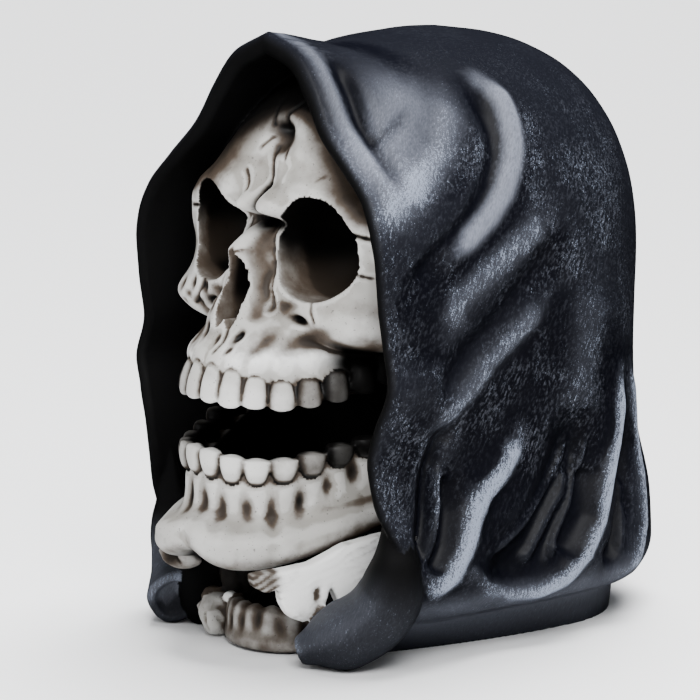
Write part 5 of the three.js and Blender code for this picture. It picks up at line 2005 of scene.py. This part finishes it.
@dataclass(frozen=True)
class PaintedResin:
    """The whole paint of the figurine, driven by the paint stored on its points."""

    cloth: ClothPaint = field(default_factory=ClothPaint)
    bone: BonePaint = field(default_factory=BonePaint)

    def build(self) -> bpy.types.Material:
        """Mixes the cloth's and the bone's paint by the stored channels.

        Returns:
            bpy.types.Material: the material.
        """
        g = Graph(SLOT)
        place = g.node("ShaderNodeTexCoord").outputs["Object"]
        bone, wash, soot, white = g.channels(PAINT_LAYERS[0])
        brush, speckle, inner, film = g.channels(PAINT_LAYERS[1])
        fine, broad = (Value(g, g.attribute(name).outputs["Fac"]) for name in HOLLOW_ROUNDS)

        # cloth
        steep = g.noise(g.stretched(place, (20, 0, 0), (1, 1, 0.13)), 2900, 2.0, 0.6)
        slant = g.noise(g.stretched(place, (-35, 0, 0), (1, 1, 0.2)), 3400, 1.5, 0.6)
        grit = g.noise(place, 4000, 1.0)
        patches = g.noise(place, 60, 3.0, 0.6)
        clouds = g.noise(place, 110, 2.0, 0.6)
        ridge = (-broad).ramp(0.03, 0.5)
        held = (brush + 0.12 * ridge - 0.8 * broad.ramp(0.05, 0.5)).clamped()
        open_to = 1.0 - 0.7 * broad.ramp(0.1, 0.6)
        uneven = 0.7 * patches.ramp(0.4, 0.62) + 0.45 * clouds.ramp(0.4, 0.62)
        dusting = (speckle * open_to * uneven).clamped()
        cover = (0.74 * held + 0.26 * dusting).clamped()
        bristles = 0.4 * steep + 0.2 * slant + 0.4 * grit
        marks = (bristles - 0.65 + 0.33 * cover).ramp(-0.03, 0.12) * (1.3 * dusting + 2.6 * held).clamped()
        flecks = g.noise(g.stretched(place, (30, 0, 0), (1, 1, 0.5)), 1500, 3.0, 0.7)
        haze = speckle * open_to * flecks.ramp(0.48, 0.66) * (0.35 + 1.2 * patches.ramp(0.42, 0.65))
        worn = 0.86 + 0.9 * (steep - 0.5) + 0.5 * (flecks - 0.5)
        grey = (film * worn + 0.24 * held + 0.22 * haze).clamped()
        cloth = g.blend(grey, self.cloth.black, self.cloth.film)
        cloth = g.blend(0.8 * marks, cloth, self.cloth.silver)
        cloth = g.blend(inner, cloth, self.cloth.lining)

        # bone
        mottling = g.noise(place, 240, 3.0, 0.6)
        stains = g.noise(place, 90, 2.0)
        pores = g.noise(place, 1500, 1.0)
        cavity = fine.ramp(0.01, 0.2)
        # hollows go darker: the brown wash that settles in them, and painted shade
        dark = (wash * 0.95 + 0.34 * cavity + 0.35 * broad.ramp(0.1, 0.9) + 0.62 * (mottling - 0.47)
                + 0.62 * (stains - 0.5)).clamped()
        ivory = g.blend((0.08 + 1.1 * (stains - 0.5)).clamped(), self.bone.bone, self.bone.pale)
        ivory = g.blend((white + 0.25 * (-fine).ramp(0.01, 0.08)).clamped(), ivory, self.bone.pale)
        skin = g.blend(dark.ramp(0.08, 0.75), ivory, self.bone.brown)
        skin = g.blend(dark.ramp(0.6, 1.25), skin, self.bone.umber)
        spots = pores.ramp(0.70, 0.74) * 0.5
        skin = g.blend(spots * (1.0 - white), skin, self.bone.umber)
        # black from the stored paint, and more of it deep in washed hollows as painted shade
        skin = g.blend((soot + 0.3 * cavity * wash).ramp(0.05, 0.95), skin, self.bone.soot)

        strokes = 0.5 * marks + 0.3 * grit + 0.3 * steep
        relief = bone * (0.4 * mottling + 0.25 * pores) + (1.0 - bone) * strokes
        bumped = g.node("ShaderNodeBump", sockets={"Strength": 0.2, "Distance": 0.0001, "Height": relief})
        on_cloth = g.node("ShaderNodeBsdfPrincipled", sockets={
            "Base Color": cloth, "Roughness": 0.36 + 0.2 * patches + 0.2 * marks + 0.25 * inner,
            "Specular IOR Level": 0.13, "Normal": bumped.outputs[0]})
        on_bone = g.node("ShaderNodeBsdfPrincipled", sockets={
            "Base Color": skin, "Roughness": 0.45 + 0.15 * mottling,
            "Specular IOR Level": 0.25, "Normal": bumped.outputs[0]})
        both = g.node("ShaderNodeMixShader", sockets={
            0: bone.ramp(0.35, 0.65), 1: on_cloth.outputs[0], 2: on_bone.outputs[0]})
        g.node("ShaderNodeOutputMaterial", sockets={"Surface": both.outputs[0]})
        return g.material


def hung(name: str, data: Any, towards: Vector, place: Vector) -> bpy.types.Object:
    """Puts a light or a camera into the scene, with its back towards a heading.

    Args:
        name: its name.
        data: the light or the camera.
        towards: the heading that its back faces.
        place: where it is, in metres.

    Returns:
        bpy.types.Object: the object.
    """
    made = bpy.data.objects.new(name, data)
    made.location = place
    made.rotation_mode = "QUATERNION"
    made.rotation_quaternion = towards.to_track_quat("Z", "Y")
    bpy.context.scene.collection.objects.link(made)
    return made


@dataclass(frozen=True)
class Softbox:
    """A square soft light that faces the figurine.

    Angles are degrees to the figure's left of its front and above the table. Lengths are in metres, the power
    is in watts, and aim is the height that it faces.
    """

    name: str
    azimuth: float
    elevation: float
    distance: float
    size: float
    power: float
    aim: float = 0.07

    def build(self) -> None:
        """Hangs the light."""
        away = heading_of(self.azimuth, self.elevation)
        data = bpy.data.lights.new(self.name, "AREA")
        data.shape, data.size, data.energy = "SQUARE", self.size, self.power
        hung(self.name, data, away, away * self.distance + Vector((0, 0, self.aim)))


def heading_of(azimuth: float, elevation: float) -> Vector:
    """The unit vector towards a light or the camera, by degrees to the figure's left and above level."""
    a, e = math.radians(azimuth), math.radians(elevation)
    return Vector((math.sin(a) * math.cos(e), -math.cos(a) * math.cos(e), math.sin(e)))


@dataclass(frozen=True)
class Studio:
    """The pale table, the soft lights and the camera of the picture.

    Angles are degrees to the figure's left of its front and above the table. The lens and the sensor's width
    are in mm, and so is the target, about the skull's axis. Other lengths are in metres, the sky's strength
    is in watts to the square metre, and the surround is an even light from all round. Colours are linear.
    """

    azimuth: float = 47.0
    elevation: float = 8.4
    distance: float = 0.6
    lens: float = 130.4
    sensor: float = 36.0
    clip: Pair = (0.05, 200.0)
    target: Triple = (-6.3, -6.8, 63.7)
    floor_size: float = 80.0
    softboxes: tuple[Softbox, ...] = (
        Softbox("key", 52, 46, 1.0, 0.55, 11.0),
        Softbox("fill", -20, 25, 1.2, 0.8, 3.0),
    )
    sky_azimuth: float = 200.0
    sky_elevation: float = 68.0
    sky_spread: float = 45.0
    sky_strength: float = 9.0
    surround: float = 0.3
    table_white: Colour = (0.94, 0.945, 0.955, 1.0)
    surround_white: Colour = (0.95, 0.97, 1.0, 1.0)

    def camera(self) -> None:
        """Sets the camera up."""
        back = heading_of(self.azimuth, self.elevation)
        target = (Vector(self.target) - Vector((*BOX_CENTRE, 0.0))) * MILLIMETRE
        data = bpy.data.cameras.new("camera")
        data.lens, data.sensor_width = self.lens, self.sensor
        data.clip_start, data.clip_end = self.clip
        bpy.context.scene.camera = hung("camera", data, back, target + back * self.distance)

    def table(self) -> bpy.types.Object:
        """The white table.

        Returns:
            bpy.types.Object: a large level square.
        """
        h = self.floor_size / 2
        mesh = bpy.data.meshes.new("table")
        mesh.from_pydata([(-h, -h, 0), (h, -h, 0), (h, h, 0), (-h, h, 0)], [], [(0, 1, 2, 3)])
        g = Graph("white_table")
        shader = g.node("ShaderNodeBsdfPrincipled", sockets={
            "Base Color": self.table_white, "Roughness": 0.6})
        g.node("ShaderNodeOutputMaterial", sockets={"Surface": shader.outputs[0]})
        mesh.materials.append(g.material)
        obj = bpy.data.objects.new("table", mesh)
        obj.visible_glossy = False
        bpy.context.scene.collection.objects.link(obj)
        return obj

    def canopy(self) -> None:
        """Hangs the broad light from above that keeps the table evenly white."""
        data = bpy.data.lights.new("canopy", "SUN")
        data.energy, data.angle = self.sky_strength, math.radians(self.sky_spread)
        lamp = hung("canopy", data, heading_of(self.sky_azimuth, self.sky_elevation), Vector())
        lamp.visible_glossy = False

    def build(self) -> None:
        """Sets the whole studio up."""
        self.table()
        self.camera()
        self.canopy()
        for softbox in self.softboxes:
            softbox.build()
        world = bpy.data.worlds.new("studio")
        world.use_nodes = True
        sky = world.node_tree.nodes["Background"]
        sky.inputs[0].default_value = self.surround_white
        sky.inputs[1].default_value = self.surround
        bpy.context.scene.world = world
        world.cycles_visibility.glossy = False


def main() -> None:
    """Makes the figurine and its studio."""
    logging.basicConfig(level=logging.INFO, format="%(name)s: %(message)s")
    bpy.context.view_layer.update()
    piece = Casting().build(PaintedResin().build())
    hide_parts(NODE)
    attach(piece, "root")
    Studio().build()


if __name__ == "__main__":
    main()
